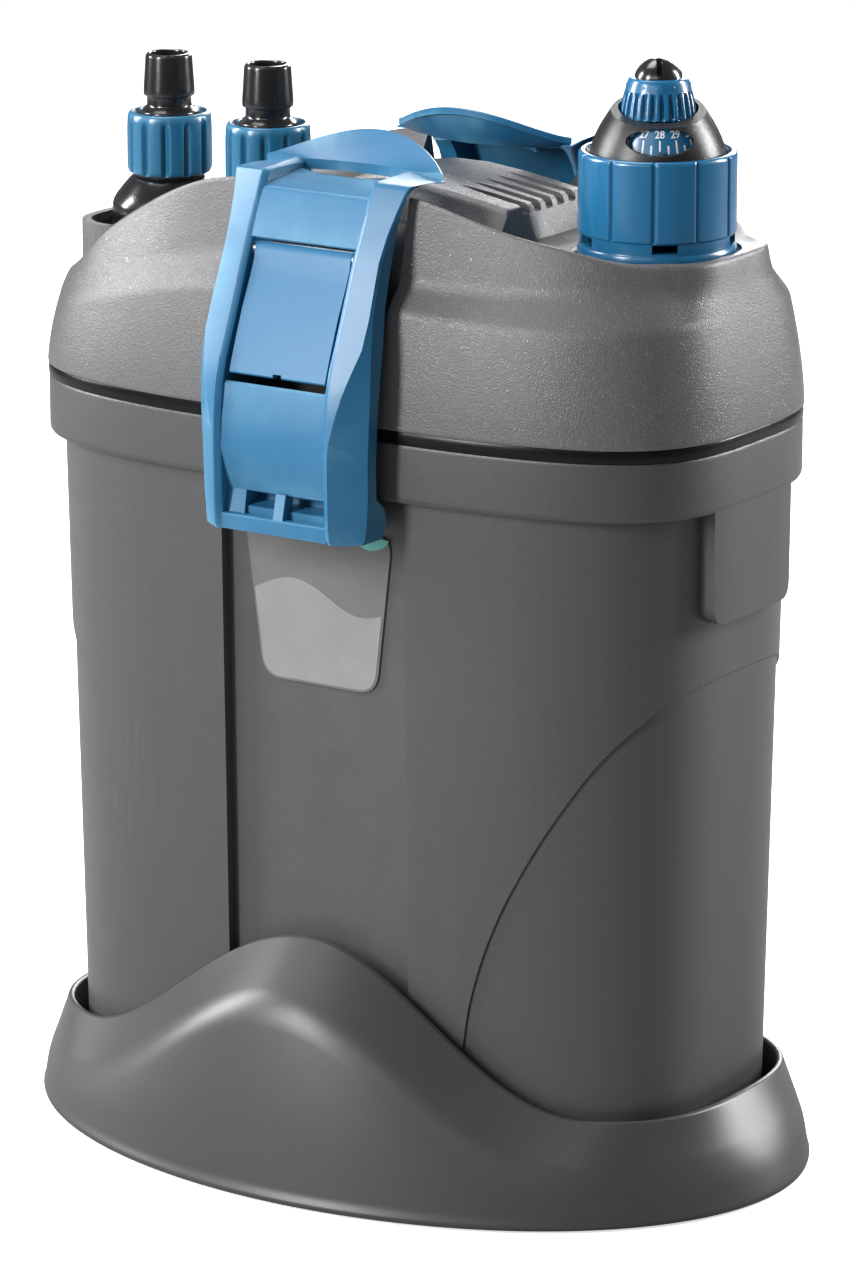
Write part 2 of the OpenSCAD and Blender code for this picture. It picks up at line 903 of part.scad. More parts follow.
container();
foot();
foot_pads();
badge();
rim_seal();
head_shell();
head_plate();
head_screws();
motor_housing();
chamber_cover();
impeller();
impeller_shaft();
shaft_bushes();
cable_gland();
head_hinge_pins();
latch_link();  // latch_link_front
latch_frame();  // latch_frame_front
latch_pin();  // latch_pin_front
mirror([0, 1, 0]) latch_link();  // latch_link_rear
mirror([0, 1, 0]) latch_frame();  // latch_frame_rear
mirror([0, 1, 0]) latch_pin();  // latch_pin_rear
hose_adapter();
adapter_seals();
union_nut(hose_x[0]);  // union_nut_left
union_nut(hose_x[1]);  // union_nut_right
hose_stub(hose_x[0]);  // hose_stub_left
hose_stub(hose_x[1]);  // hose_stub_right
heater_collar();
heater_head();
heater_knob();
heater_cap();
heater_dial();
heater_tube();
heater_element();
heater_seal();
intake_pipe();
intake_strainer();
basket(0);  // basket_1
basket(1);  // basket_2
basket(2);  // basket_3
foam_coarse();
bio_media();
foam_fine();
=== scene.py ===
# %% [markdown]
# A canister filter stands on the floor beside a tank and cleans its water. This lesson dresses
# the finished CAD model of one. The CAD parts give every place and size, so the script starts
# by loading them as a fixed frame and reads the box of a part wherever it needs one.

# %% Load the frame
import math

import bmesh
import bpy
from mathutils import Matrix, Vector


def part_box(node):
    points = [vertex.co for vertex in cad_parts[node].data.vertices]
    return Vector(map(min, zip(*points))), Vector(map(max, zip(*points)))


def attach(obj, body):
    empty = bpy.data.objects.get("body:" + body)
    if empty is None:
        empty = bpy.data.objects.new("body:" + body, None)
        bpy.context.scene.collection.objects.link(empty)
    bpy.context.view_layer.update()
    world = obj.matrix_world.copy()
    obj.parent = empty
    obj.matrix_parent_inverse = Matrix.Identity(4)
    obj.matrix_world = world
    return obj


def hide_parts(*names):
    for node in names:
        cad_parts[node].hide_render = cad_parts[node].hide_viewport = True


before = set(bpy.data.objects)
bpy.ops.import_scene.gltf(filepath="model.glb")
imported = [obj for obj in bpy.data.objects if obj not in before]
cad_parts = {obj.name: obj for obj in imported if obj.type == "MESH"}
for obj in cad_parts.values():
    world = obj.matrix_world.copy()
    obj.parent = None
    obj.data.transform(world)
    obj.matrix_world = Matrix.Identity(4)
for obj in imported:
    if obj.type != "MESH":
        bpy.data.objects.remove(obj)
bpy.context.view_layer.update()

MM = 0.001

# %% [markdown]
# The main measures come from the boxes of the CAD parts. Millimetres are easier to think in
# for moulded parts, so the helpers take millimetres and the meshes are written in metres.

# %% Main measures
def box_mm(node):
    low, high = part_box(node)
    return low / MM, high / MM


def middle_x(node):
    low, high = box_mm(node)
    return (low.x + high.x) / 2


HALF_LEN, HALF_WID, RIM_Z = box_mm("container")[1]
FOOT_LEN, FOOT_WID = box_mm("foot")[1].xy
SEAL_Z = box_mm("rim_seal")[1].z
STUB_Z = box_mm("hose_stub_left")[0].z
HOSE_X = [middle_x("hose_stub_left"), middle_x("hose_stub_right")]
HOSE_MID_X = sum(HOSE_X) / 2
HEATER_X = middle_x("heater_collar")
ADAPTER_Z = SEAL_Z + 41  # centre of the hose connector block's domes
DECK_Z = SEAL_Z + 54     # flat deck that the heater stands on
RECESS_HALF = 37         # half width of the flat recess in each long side
GAP_HALF = 28.8          # half width of the gap that the latch passes through
print("rim", round(HALF_LEN * 2), "x", round(HALF_WID * 2), "mm; heater at x", round(HEATER_X, 1))

# %% [markdown]
# The camera stands to the right of the front and a little above, with a long lens, so that
# upright edges stay nearly parallel. The small shift slides the picture without turning it.

# %% Camera
AIM = Vector((0, 0, 0.206))
VIEW_AZIMUTH = math.radians(33.36)
VIEW_HEIGHT = math.radians(14.23)
VIEW_DISTANCE = 2.06
toward_camera = Vector((
    math.sin(VIEW_AZIMUTH) * math.cos(VIEW_HEIGHT),
    -math.cos(VIEW_AZIMUTH) * math.cos(VIEW_HEIGHT),
    math.sin(VIEW_HEIGHT),
))
camera_data = bpy.data.cameras.new("camera")
camera_data.lens = 167.96
camera_data.sensor_width = 36
camera_data.shift_x = 0.0056
camera_data.shift_y = -0.0699
camera_data.clip_end = 50
camera = bpy.data.objects.new("camera", camera_data)
camera.location = AIM + toward_camera * VIEW_DISTANCE
camera.rotation_euler = (-toward_camera).to_track_quat("-Z", "Y").to_euler()
bpy.context.scene.collection.objects.link(camera)
bpy.context.scene.camera = camera
print("camera at", [round(v, 3) for v in camera.location])

# %% [markdown]
# A product studio has a pale floor and a few large soft lamps. The floor is one wide plane.
# The world gives an even pale fill, and the lamps give the long soft highlights.

# %% Floor and world
def link(obj):
    bpy.context.scene.collection.objects.link(obj)
    return obj


floor_mesh = bpy.data.meshes.new("floor")
floor_mesh.from_pydata([(-9, -9, 0), (9, -9, 0), (9, 9, 0), (-9, 9, 0)], [], [(0, 1, 2, 3)])
floor = link(bpy.data.objects.new("floor", floor_mesh))
# The camera sees a bright floor, and bounced light meets a greyer one, so the floor doesn't
# wash out the dark side of the filter.
floor_paint = bpy.data.materials.new("floor_paint")
floor_paint.use_nodes = True
floor_tree = floor_paint.node_tree
floor_seen = floor_tree.nodes["Principled BSDF"]
floor_seen.inputs["Base Color"].default_value = (0.9, 0.9, 0.9, 1)
floor_seen.inputs["Roughness"].default_value = 0.6
floor_seen.inputs["Emission Color"].default_value = (1, 1, 1, 1)
floor_seen.inputs["Emission Strength"].default_value = 0.66
floor_bounce = floor_tree.nodes.new("ShaderNodeBsdfDiffuse")
floor_bounce.inputs["Color"].default_value = (0.3, 0.3, 0.3, 1)
floor_pick = floor_tree.nodes.new("ShaderNodeMixShader")
floor_ray = floor_tree.nodes.new("ShaderNodeLightPath")
floor_tree.links.new(floor_ray.outputs["Is Camera Ray"], floor_pick.inputs[0])
floor_tree.links.new(floor_bounce.outputs[0], floor_pick.inputs[1])
floor_tree.links.new(floor_seen.outputs[0], floor_pick.inputs[2])
floor_tree.links.new(floor_pick.outputs[0], floor_tree.nodes["Material Output"].inputs["Surface"])
floor_mesh.materials.append(floor_paint)

world = bpy.data.worlds.new("studio")
bpy.context.scene.world = world
world.use_nodes = True
world.node_tree.nodes["Background"].inputs["Color"].default_value = (0.97, 0.98, 1, 1)
world.node_tree.nodes["Background"].inputs["Strength"].default_value = 0.16
bpy.context.scene.view_settings.view_transform = "Standard"


# %% Soft lamps
def soft_lamp(name, bearing, distance, height, wide, high, watts):
    """A lamp at a bearing in degrees from the front (-Y), turning towards +X, aimed at the filter."""
    data = bpy.data.lights.new(name, "AREA")
    data.shape = "RECTANGLE"
    data.size = wide
    data.size_y = high
    data.energy = watts
    lamp = link(bpy.data.objects.new(name, data))
    turn = math.radians(bearing)
    lamp.location = (distance * math.sin(turn), -distance * math.cos(turn), height)
    lamp.rotation_euler = (Vector((0, 0, 0.22)) - lamp.location).to_track_quat("-Z", "Y").to_euler()
    lamp.visible_camera = False
    return lamp


# Name, bearing, distance, height, width and height of the panel in metres, and watts.
for lamp_values in (
        ("lamp_left", -70, 1.7, 0.85, 0.32, 1.0, 38), ("lamp_front", -20, 1.7, 0.88, 0.3, 1.0, 34),
        ("lamp_right", 138, 1.7, 0.85, 0.22, 1.0, 46), ("lamp_back", 200, 1.9, 0.9, 1.0, 0.8, 27),
        ("lamp_top", -100, 0.5, 1.7, 0.9, 0.7, 14), ("lamp_fill", 12, 2.0, 1.35, 1.0, 0.5, 5)):
    soft_lamp(*lamp_values)

# %% [markdown]
# Most of the filter is moulded plastic. A mould leaves the same few marks on every part: a
# fine grain, cloudy changes of shine, and corners that wear a little paler. Each mark is a
# shader node group, built once and given its own values in every material.


# %% Node group helper
def new_group(name, inputs, outputs):
    tree = bpy.data.node_groups.new(name, "ShaderNodeTree")
    for label, value in inputs:
        socket = tree.interface.new_socket(label, in_out="INPUT", socket_type="NodeSocketFloat")
        socket.default_value = value
    for label in outputs:
        tree.interface.new_socket(label, in_out="OUTPUT", socket_type="NodeSocketFloat")
    first = tree.nodes.new("NodeGroupInput")
    last = tree.nodes.new("NodeGroupOutput")
    return tree, first, last


def add_node(tree, kind, **values):
    """Adds a shader node and sets the inputs that are named, with _ for a space."""
    node = tree.nodes.new("ShaderNode" + kind)
    for label, value in values.items():
        node.inputs[label.replace("_", " ")].default_value = value
    return node


def object_noise(tree, **values):
    """A noise laid out in the metres of the object, so that it stays put when the piece moves."""
    noise = add_node(tree, "TexNoise", **values)
    tree.links.new(add_node(tree, "TexCoord").outputs["Object"], noise.inputs["Vector"])
    return noise


# %% Math node
def math_node(tree, operation, a, b=None):
    node = add_node(tree, "Math")
    node.operation = operation
    for socket, value in zip(node.inputs, (a, b)):
        if isinstance(value, bpy.types.NodeSocket):
            tree.links.new(value, socket)
        elif value is not None:
            socket.default_value = value
    return node.outputs[0]


# %% Grain of a sparked mould
def make_grain():
    tree, first, last = new_group(
        "moulded_grain", [("Size", 2400), ("Fleck Size", 3600)], ["Height", "Fleck"])
    noise = object_noise(tree, Detail=2, Roughness=0.55)
    cells = add_node(tree, "TexVoronoi")
    tree.links.new(add_node(tree, "TexCoord").outputs["Object"], cells.inputs["Vector"])
    tree.links.new(first.outputs["Size"], noise.inputs["Scale"])
    tree.links.new(first.outputs["Fleck Size"], cells.inputs["Scale"])
    split = add_node(tree, "SeparateColor")
    tree.links.new(cells.outputs["Color"], split.inputs[0])
    # One cell in seven is a fleck, brighter the further it is above the threshold.
    bright = math_node(tree, "SUBTRACT", split.outputs[0], 0.86)
    fleck = math_node(tree, "MULTIPLY", math_node(tree, "MAXIMUM", bright, 0.0), 7.0)
    tree.links.new(noise.outputs["Fac"], last.inputs["Height"])
    tree.links.new(fleck, last.inputs["Fleck"])
    return tree


grain_group = make_grain()
print("group", grain_group.name, "gives", [s.name for s in grain_group.interface.items_tree])


# %% Clouds of shine
def make_clouds():
    tree, first, last = new_group("shine_clouds", [("Size", 28), ("Contrast", 1)], ["Value"])
    noise = object_noise(tree, Detail=4, Roughness=0.62)
    tree.links.new(first.outputs["Size"], noise.inputs["Scale"])
    centred = math_node(tree, "SUBTRACT", noise.outputs["Fac"], 0.5)
    scaled = math_node(tree, "MULTIPLY", centred, first.outputs["Contrast"])
    tree.links.new(scaled, last.inputs["Value"])
    return tree


cloud_group = make_clouds()
print("group", cloud_group.name, "is ready")


# %% Wear along edges
def make_wear():
    tree, first, last = new_group("edge_wear", [("Reach", 0.5), ("Break Up", 90)], ["Mask"])
    noise = object_noise(tree, Detail=5)
    tree.links.new(first.outputs["Break Up"], noise.inputs["Scale"])
    # Pointiness is a half on a flat face and grows on a corner that stands out.
    pointiness = add_node(tree, "NewGeometry").outputs["Pointiness"]
    sharp = math_node(tree, "SUBTRACT", pointiness, 0.505)
    grown = math_node(tree, "MULTIPLY", sharp, 14.0)
    broken = math_node(tree, "MULTIPLY", grown, noise.outputs["Fac"])
    scaled = math_node(tree, "MULTIPLY", broken, first.outputs["Reach"])
    tree.links.new(math_node(tree, "MINIMUM", math_node(tree, "MAXIMUM", scaled, 0.0), 1.0),
                   last.inputs["Mask"])
    return tree


wear_group = make_wear()
print("groups:", sorted(g.name for g in bpy.data.node_groups))

# %% [markdown]
# One function mixes the groups into a plastic. The colour drifts a little with the clouds and
# turns paler where edges are worn, the roughness drifts with the same clouds, and the grain is
# the height of a bump. Values that are the same all over sit on the shader itself.


# %% Plastic recipe
def new_material(name):
    """A material with its node tree and its Principled shader."""
    material = bpy.data.materials.new(name)
    material.use_nodes = True
    return material, material.node_tree, material.node_tree.nodes["Principled BSDF"]


def group_node(tree, group, **values):
    node = tree.nodes.new("ShaderNodeGroup")
    node.node_tree = group
    for label, value in values.items():
        node.inputs[label.replace("_", " ")].default_value = value
    return node


# %% Mix of two colours
# Node.inputs["A"] finds the first socket of that name, so the colour sockets are picked by type.
def colour_mix(tree, factor, a, b):
    node = add_node(tree, "Mix")
    node.data_type = "RGBA"
    sockets = [s for s in node.inputs if s.type == "RGBA"]
    pairs = ((node.inputs[0], factor), (sockets[0], a), (sockets[1], b))
    for socket, value in pairs:
        if isinstance(value, bpy.types.NodeSocket):
            tree.links.new(value, socket)
        elif isinstance(value, tuple):
            socket.default_value = (*value, 1)
        else:
            socket.default_value = value
    return [s for s in node.outputs if s.type == "RGBA"][0]


# %% Plastic
def plastic(name, colour, pale, rough, grain=2400, depth=0.00008, flecks=0.0, drift=0.12,
            wear=0.5, cloud=28, coat=0.0, fleck_size=3600):
    material, tree, shader = new_material(name)
    grains = group_node(tree, grain_group, Size=grain, Fleck_Size=fleck_size)
    clouds = group_node(tree, cloud_group, Size=cloud, Contrast=drift)
    edges = group_node(tree, wear_group, Reach=wear)
    cloud_share = math_node(tree, "ADD", clouds.outputs[0], 0.5)
    drifted = colour_mix(tree, cloud_share, tuple(c * 0.86 for c in colour),
                         tuple(min(1, c * 1.14) for c in colour))
    fleck_share = math_node(tree, "MULTIPLY", grains.outputs["Fleck"], flecks)
    flecked = colour_mix(tree, fleck_share, drifted, pale)
    tree.links.new(colour_mix(tree, edges.outputs["Mask"], flecked, pale), shader.inputs["Base Color"])
    base = math_node(tree, "ADD", math_node(tree, "MULTIPLY", clouds.outputs[0], 0.9), rough)
    sparkle = math_node(tree, "MULTIPLY", grains.outputs["Fleck"], -0.25 * min(1, flecks * 4))
    tree.links.new(math_node(tree, "ADD", base, sparkle), shader.inputs["Roughness"])
    bump = add_node(tree, "Bump", Distance=depth)
    tree.links.new(grains.outputs["Height"], bump.inputs["Height"])
    tree.links.new(bump.outputs["Normal"], shader.inputs["Normal"])
    shader.inputs["Coat Weight"].default_value = coat
    shader.inputs["Coat Roughness"].default_value = 0.2
    return material


# %% Finishes of the filter
head_grey = plastic("head_grey", (0.094, 0.093, 0.095), (0.3, 0.3, 0.3), 0.34, grain=1900,
                    depth=0.0002, flecks=0.3, fleck_size=2000, wear=0.2, drift=0.05)
container_grey = plastic("container_grey", (0.056, 0.056, 0.059), (0.15, 0.15, 0.15), 0.38,
                         grain=2600, depth=0.0001, flecks=0.05, wear=0.05, drift=0.03)
foot_grey = plastic("foot_grey", (0.05, 0.051, 0.054), (0.15, 0.15, 0.15), 0.36, grain=3200,
                    depth=0.00004, wear=0.05, cloud=12, drift=0.03)
latch_blue = plastic("latch_blue", (0.014, 0.125, 0.26), (0.12, 0.32, 0.46), 0.33, grain=2600,
                     depth=0.00004, wear=0.2, drift=0.04)
collar_blue = plastic("collar_blue", (0.006, 0.115, 0.25), (0.08, 0.3, 0.54), 0.26, grain=2600,
                      depth=0.00002, wear=0.25, coat=0.3, drift=0.04)
black_gloss = plastic("black_gloss", (0.006, 0.006, 0.007), (0.08, 0.08, 0.085), 0.2, grain=3000,
                      depth=0.00002, wear=0.4, coat=0.5)
black_matte = plastic("black_matte", (0.006, 0.006, 0.007), (0.08, 0.08, 0.08), 0.32, grain=2600,
                      depth=0.00007, wear=0.4)
# The seal is soft rubber in a slit, so it mirrors less light than hard plastic does.
seal_black = plastic("seal_black", (0.004, 0.004, 0.005), (0.03, 0.03, 0.03), 0.24, grain=3000,
                     depth=0.00002, wear=0.1)
seal_shader = seal_black.node_tree.nodes["Principled BSDF"]
seal_shader.inputs["Specular IOR Level"].default_value = 0.2
red_rubber = plastic("red_rubber", (0.25, 0.03, 0.02), (0.4, 0.1, 0.08), 0.55, 1800, 0.00006)
white_ceramic = plastic("white_ceramic", (0.8, 0.8, 0.77), (0.9, 0.9, 0.88), 0.25, 3000, 0.00002)
magnet_grey = plastic("magnet_grey", (0.09, 0.09, 0.1), (0.3, 0.3, 0.3), 0.4, 1500, 0.0001)
foam_blue = plastic("foam_blue", (0.03, 0.12, 0.34), (0.1, 0.25, 0.5), 0.9, 700, 0.0012)
foam_white = plastic("foam_white", (0.75, 0.77, 0.74), (0.9, 0.9, 0.9), 0.9, 900, 0.0008)
media_tan = plastic("media_tan", (0.5, 0.42, 0.31), (0.7, 0.63, 0.52), 0.8, 260, 0.002)
print("materials so far:", len(bpy.data.materials))


# %% Drawn metal
def metal(name, colour, rough, stretch):
    material, tree, shader = new_material(name)
    shader.inputs["Metallic"].default_value = 1
    # A noise stretched along the piece looks like the fine lines of drawn metal.
    turn = add_node(tree, "Mapping", Scale=stretch)
    noise = add_node(tree, "TexNoise", Scale=900)
    tree.links.new(add_node(tree, "TexCoord").outputs["Object"], turn.inputs["Vector"])
    tree.links.new(turn.outputs["Vector"], noise.inputs["Vector"])
    lines = noise.outputs["Fac"]
    tree.links.new(colour_mix(tree, lines, tuple(c * 0.8 for c in colour), colour),
                   shader.inputs["Base Color"])
    shine = math_node(tree, "ADD", math_node(tree, "MULTIPLY", lines, 0.2), rough)
    tree.links.new(shine, shader.inputs["Roughness"])
    return material


# %% Metals and glass
steel = metal("steel", (0.62, 0.62, 0.64), 0.2, (0.05, 1, 1))
copper = metal("copper", (0.8, 0.4, 0.2), 0.3, (1, 1, 0.1))
glass, glass_tree, glass_shader = new_material("tube_glass")
glass_shader.inputs["Transmission Weight"].default_value = 1
glass_shader.inputs["Roughness"].default_value = 0.04
glass_clouds = group_node(glass_tree, cloud_group, Size=60, Contrast=0.08)
glass_share = math_node(glass_tree, "ADD", glass_clouds.outputs[0], 0.5)
glass_tree.links.new(colour_mix(glass_tree, glass_share, (0.8, 0.88, 0.9), (0.93, 0.97, 0.98)),
                     glass_shader.inputs["Base Color"])
print("metals and glass:", steel.name, copper.name, glass.name)

# %% Finishes of the CAD parts
FINISH = [
    (container_grey, "container"), (foot_grey, "foot"), (head_grey, "head_shell badge"),
    (seal_black, "rim_seal"), (magnet_grey, "impeller"), (white_ceramic, "impeller_shaft"),
    (steel, "head_screws head_hinge_pins latch_pin_front latch_pin_rear"),
    (latch_blue, "latch_link_front latch_link_rear latch_frame_front latch_frame_rear "
                 "union_nut_left union_nut_right"),
    (collar_blue, "heater_collar heater_knob heater_dial"),
    (black_gloss, "hose_adapter hose_stub_left hose_stub_right heater_cap"),
    (black_matte, "foot_pads head_plate motor_housing chamber_cover shaft_bushes heater_head "
                  "intake_pipe intake_strainer basket_1 basket_2 basket_3 cable_gland"),
    (red_rubber, "adapter_seals heater_seal"), (glass, "heater_tube"), (copper, "heater_element"),
    (foam_blue, "foam_coarse"), (foam_white, "foam_fine"), (media_tan, "bio_media"),
]
dressed = 0
for material, nodes in FINISH:
    for node in nodes.split():
        cad_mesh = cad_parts[node].data
        cad_mesh.materials.clear()
        cad_mesh.materials.append(material)
        dressed += 1
print("CAD parts dressed:", dressed, "of", len(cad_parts))

# %% [markdown]
# Every detailed piece starts as a list of points and faces. A few helpers cover them all: one
# makes a closed mesh, one joins rings of points into a skin, one turns a profile round an
# axis, and one cuts or adds solids exactly, the way a mould maker adds inserts.


# %% Mesh helpers
def solid(name, points, faces):
    mesh = bpy.data.meshes.new(name)
    mesh.from_pydata([Vector(p) * MM for p in points], [], faces)
    mesh.validate()
    work = bmesh.new()
    work.from_mesh(mesh)
    bmesh.ops.remove_doubles(work, verts=work.verts, dist=1e-6)
    bmesh.ops.recalc_face_normals(work, faces=work.faces)
    work.to_mesh(mesh)
    work.free()
    return link(bpy.data.objects.new(name, mesh))


def band_faces(count, ring_count):
    """The faces between rings that hold count points each."""
    faces = []
    for k in range(ring_count - 1):
        for i in range(count):
            j = (i + 1) % count
            faces.append((k * count + i, k * count + j, (k + 1) * count + j, (k + 1) * count + i))
    return faces


def skin(name, rings, caps=True):
    """Joins rings of equal length into one closed surface."""
    count = len(rings[0])
    points = [p for ring in rings for p in ring]
    faces = band_faces(count, len(rings))
    if caps:
        faces.append(tuple(reversed(range(count))))
        faces.append(tuple(range((len(rings) - 1) * count, len(rings) * count)))
    return solid(name, points, faces)


# %% Slabs and turned pieces
def slab(name, outline, low, high, axis="x"):
    """A flat outline given thickness along x (outline in y, z), y (x, z) or z (x, y)."""
    place = {
        "x": lambda a, b, t: (t, a, b), "y": lambda a, b, t: (a, t, b), "z": lambda a, b, t: (a, b, t),
    }[axis]
    return skin(name, [[place(a, b, t) for a, b in outline] for t in (low, high)])


def turned(name, x, base, profile, count=96, swell=None):
    """Turns a closed profile round the upright axis at x. A row of the profile is a radius, a
    height above the base and, where it has ribs or flats, its share of the swell."""
    rings = []
    for i in range(count):
        angle = 2 * math.pi * i / count
        extra = swell(math.degrees(angle)) if swell else 0
        ring = []
        for radius, height, *share in profile:
            reach = radius + (share[0] if share else 0) * extra
            ring.append((x + reach * math.cos(angle), reach * math.sin(angle), base + height))
        rings.append(ring)
    rings.append(rings[0])
    return skin(name, rings, caps=False)


# %% Joining, cutting and rounding
def join(name, pieces):
    """Makes one mesh of several."""
    work = bmesh.new()
    for piece in pieces:
        work.from_mesh(piece.data)
    mesh = bpy.data.meshes.new(name)
    work.to_mesh(mesh)
    work.free()
    for piece in pieces:
        bpy.data.objects.remove(piece)
    return link(bpy.data.objects.new(name, mesh))


def settle(obj):
    """Turns the modifiers of a piece into its mesh."""
    shown = obj.evaluated_get(bpy.context.evaluated_depsgraph_get())
    mesh = bpy.data.meshes.new_from_object(shown)
    obj.modifiers.clear()
    obj.data = mesh
    return obj


def carve(obj, tool, operation="DIFFERENCE"):
    cut = obj.modifiers.new("cut", "BOOLEAN")
    cut.operation = operation
    cut.solver = "EXACT"
    cut.object = tool
    settle(obj)
    bpy.data.objects.remove(tool)
    return obj


def soften(obj, width=0.5, corner=35, steps=2):
    """Rounds the edges sharper than the corner angle."""
    work = bmesh.new()
    work.from_mesh(obj.data)
    bmesh.ops.remove_doubles(work, verts=work.verts, dist=2e-6)
    bmesh.ops.dissolve_limit(work, angle_limit=math.radians(0.12), verts=work.verts, edges=work.edges,
                             delimit=set())
    work.to_mesh(obj.data)
    work.free()
    bevel = obj.modifiers.new("round", "BEVEL")
    bevel.width = width * MM
    bevel.segments = steps
    bevel.limit_method = "ANGLE"
    bevel.angle_limit = math.radians(corner)
    bevel.miter_outer = "MITER_ARC"
    return settle(obj)


# %% Finish of a piece
def wear_finish(obj, material, body, nodes=(), corner=38):
    """Gives a finished piece its material and its body, and hides the CAD parts it stands for."""
    obj.data.materials.clear()
    obj.data.materials.append(material)
    obj.data.shade_smooth()
    obj.data.set_sharp_from_angle(angle=math.radians(corner))
    even = obj.modifiers.new("even_shading", "WEIGHTED_NORMAL")
    even.keep_sharp = True
    settle(obj)
    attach(obj, body)
    if nodes:
        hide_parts(*nodes)
    print(obj.name, len(obj.data.polygons), "faces")
    return obj


# %% Arcs and rounded outlines
def arc(cx, cy, radius, start, end, steps):
    return [
        (cx + radius * math.cos(math.radians(start + (end - start) * i / steps)),
         cy + radius * math.sin(math.radians(start + (end - start) * i / steps)))
        for i in range(steps + 1)
    ]


def clamp01(t):
    return min(1.0, max(0.0, t))


def ease(t):
    return 0.5 - 0.5 * math.cos(math.pi * clamp01(t))


def rounded(outline, radius, steps=4):
    """Rounds every corner of a closed flat outline."""
    made = []
    count = len(outline)
    for i, corner in enumerate(outline):
        before = Vector(outline[i - 1]) - Vector(corner)
        after = Vector(outline[(i + 1) % count]) - Vector(corner)
        reach = min(radius, before.length * 0.45, after.length * 0.45)
        a = Vector(corner) + before.normalized() * reach
        b = Vector(corner) + after.normalized() * reach
        for k in range(steps + 1):
            t = k / steps
            made.append(tuple(a * (1 - t) ** 2 + Vector(corner) * 2 * t * (1 - t) + b * t * t))
    return made

# %% [markdown]
# The heater ends above the deck in a black cone with an oval window over its dial, and a
# ribbed knob sits in a slanted cut at the top. The cone is a turned profile. The slanted cut
# and the oval window are cut out of it with exact booleans, because both have crisp edges.

# %% Heater cone
LOOK = math.radians(-57)
CONE_Z = DECK_Z + 33.2


def toward(radius, angle, z):
    return (HEATER_X + radius * math.cos(angle), radius * math.sin(angle), z)


cone = turned("heater_cone", HEATER_X, CONE_Z, [
    (0, -6), (21.2, -6), (21.2, -0.6), (22.2, -0.2), (22.6, 0.6),
    (22.5, 1.8), (21.9, 4), (21.0, 6.4), (19.9, 8.8), (18.6, 11.2),
    (17.2, 13.4), (15.8, 15.6), (14.6, 17.6), (13.9, 19.2),
    (13.9, 20.5), (0, 20.5),
], 128)
TILT = math.radians(12.5)
cut_half = 40
slant = slab("slant", [(-cut_half, 0), (cut_half, 0), (cut_half, 30), (-cut_half, 30)],
             -cut_half, cut_half, "y")
slant.data.transform(
    Matrix.Translation(Vector((HEATER_X, 0, DECK_Z + 49.2)) * MM)
    @ Matrix.Rotation(LOOK, 4, "Z") @ Matrix.Rotation(TILT, 4, "Y"))
carve(cone, slant)
carve(cone, turned("knob_seat", HEATER_X, CONE_Z, [
    (0, 12.0), (13.3, 12.0), (13.3, 30), (0, 30)], 128))
carve(cone, turned("dial_space", HEATER_X, CONE_Z, [
    (0, 1.2), (20.6, 1.2), (19.6, 4.4), (16.8, 11.2), (15.8, 12.4),
    (0, 12.4)], 128))
window_points = []
for depth in (8, 34):
    ring = []
    for i in range(56):
        t = 2 * math.pi * (i + 0.5) / 56
        side = 11.2 * math.cos(t)
        up = 4.3 * math.sin(t)
        x, y, z = toward(depth, LOOK, CONE_Z + 7.7 + up)
        ring.append((x - side * math.sin(LOOK), y + side * math.cos(LOOK), z))
    window_points.append(ring)
carve(cone, skin("window", window_points))
soften(cone, 0.35, 40, 2)
wear_finish(cone, black_matte, "housing", ["heater_head"])

# %% [markdown]
# The dial under the window carries the degrees. The numbers are the generic ones of any dial.
# They are flat text turned into mesh, then wrapped on the cone of the dial, so they turn with
# the knob and new ones come into the window.

# %% Dial with its degrees
DIAL_LOW, DIAL_HIGH = (19.3, 2.3), (15.6, 11.9)  # radius and height above CONE_Z
dial_body = turned("dial_body", HEATER_X, CONE_Z, [
    (4, DIAL_LOW[1]), DIAL_LOW, DIAL_HIGH, (14.9, 12.2), (4, 12.2)])
wear_finish(dial_body, collar_blue, "temperature_knob", ["heater_dial"])
print_white = plastic("print_white", (0.82, 0.84, 0.86), (0.9, 0.9, 0.9), 0.4, 3000, 0.00001, cloud=200)
DEGREE_STEP = 18.0          # turn of the dial for one degree of heat
MIDDLE_DEGREE = 28          # the number shown at rest
TICK_UP, NUMBER_UP = 3.7, 8.7


def on_dial(side, up, turn):
    """Wraps a flat spot on the cone of the dial: side, and up from CONE_Z, in millimetres."""
    share = (up - DIAL_LOW[1]) / (DIAL_HIGH[1] - DIAL_LOW[1])
    radius = DIAL_LOW[0] + (DIAL_HIGH[0] - DIAL_LOW[0]) * share + 0.06
    angle = LOOK + math.radians(turn) + side / radius
    return toward(radius, angle, CONE_Z + up)


marks = []
for degree in range(20, 34):
    turn = (degree - MIDDLE_DEGREE) * DEGREE_STEP
    for offset, tall in ((0, 4.2), (DEGREE_STEP / 2, 2.6)):
        spots = []
        for side, up in ((-0.3, 0), (0.3, 0), (0.3, tall), (-0.3, tall)):
            spots.append(on_dial(side, TICK_UP + up, turn + offset))
        marks.append(solid("tick", spots, [(0, 1, 2, 3)]))
    curve = bpy.data.curves.new("number", "FONT")
    curve.body = str(degree)
    curve.size = 3.3
    curve.align_x = "CENTER"
    curve.resolution_u = 3
    curve.offset = 0.08
    flat = link(bpy.data.objects.new("number", curve))
    shown = flat.evaluated_get(bpy.context.evaluated_depsgraph_get())
    text_mesh = bpy.data.meshes.new_from_object(shown)
    bpy.data.objects.remove(flat)
    points = [on_dial(v.co.x, NUMBER_UP + v.co.y, turn) for v in text_mesh.vertices]
    marks.append(solid("number", points, [tuple(p.vertices) for p in text_mesh.polygons]))
dial_marks = join("dial_marks", marks)
wear_finish(dial_marks, print_white, "temperature_knob")

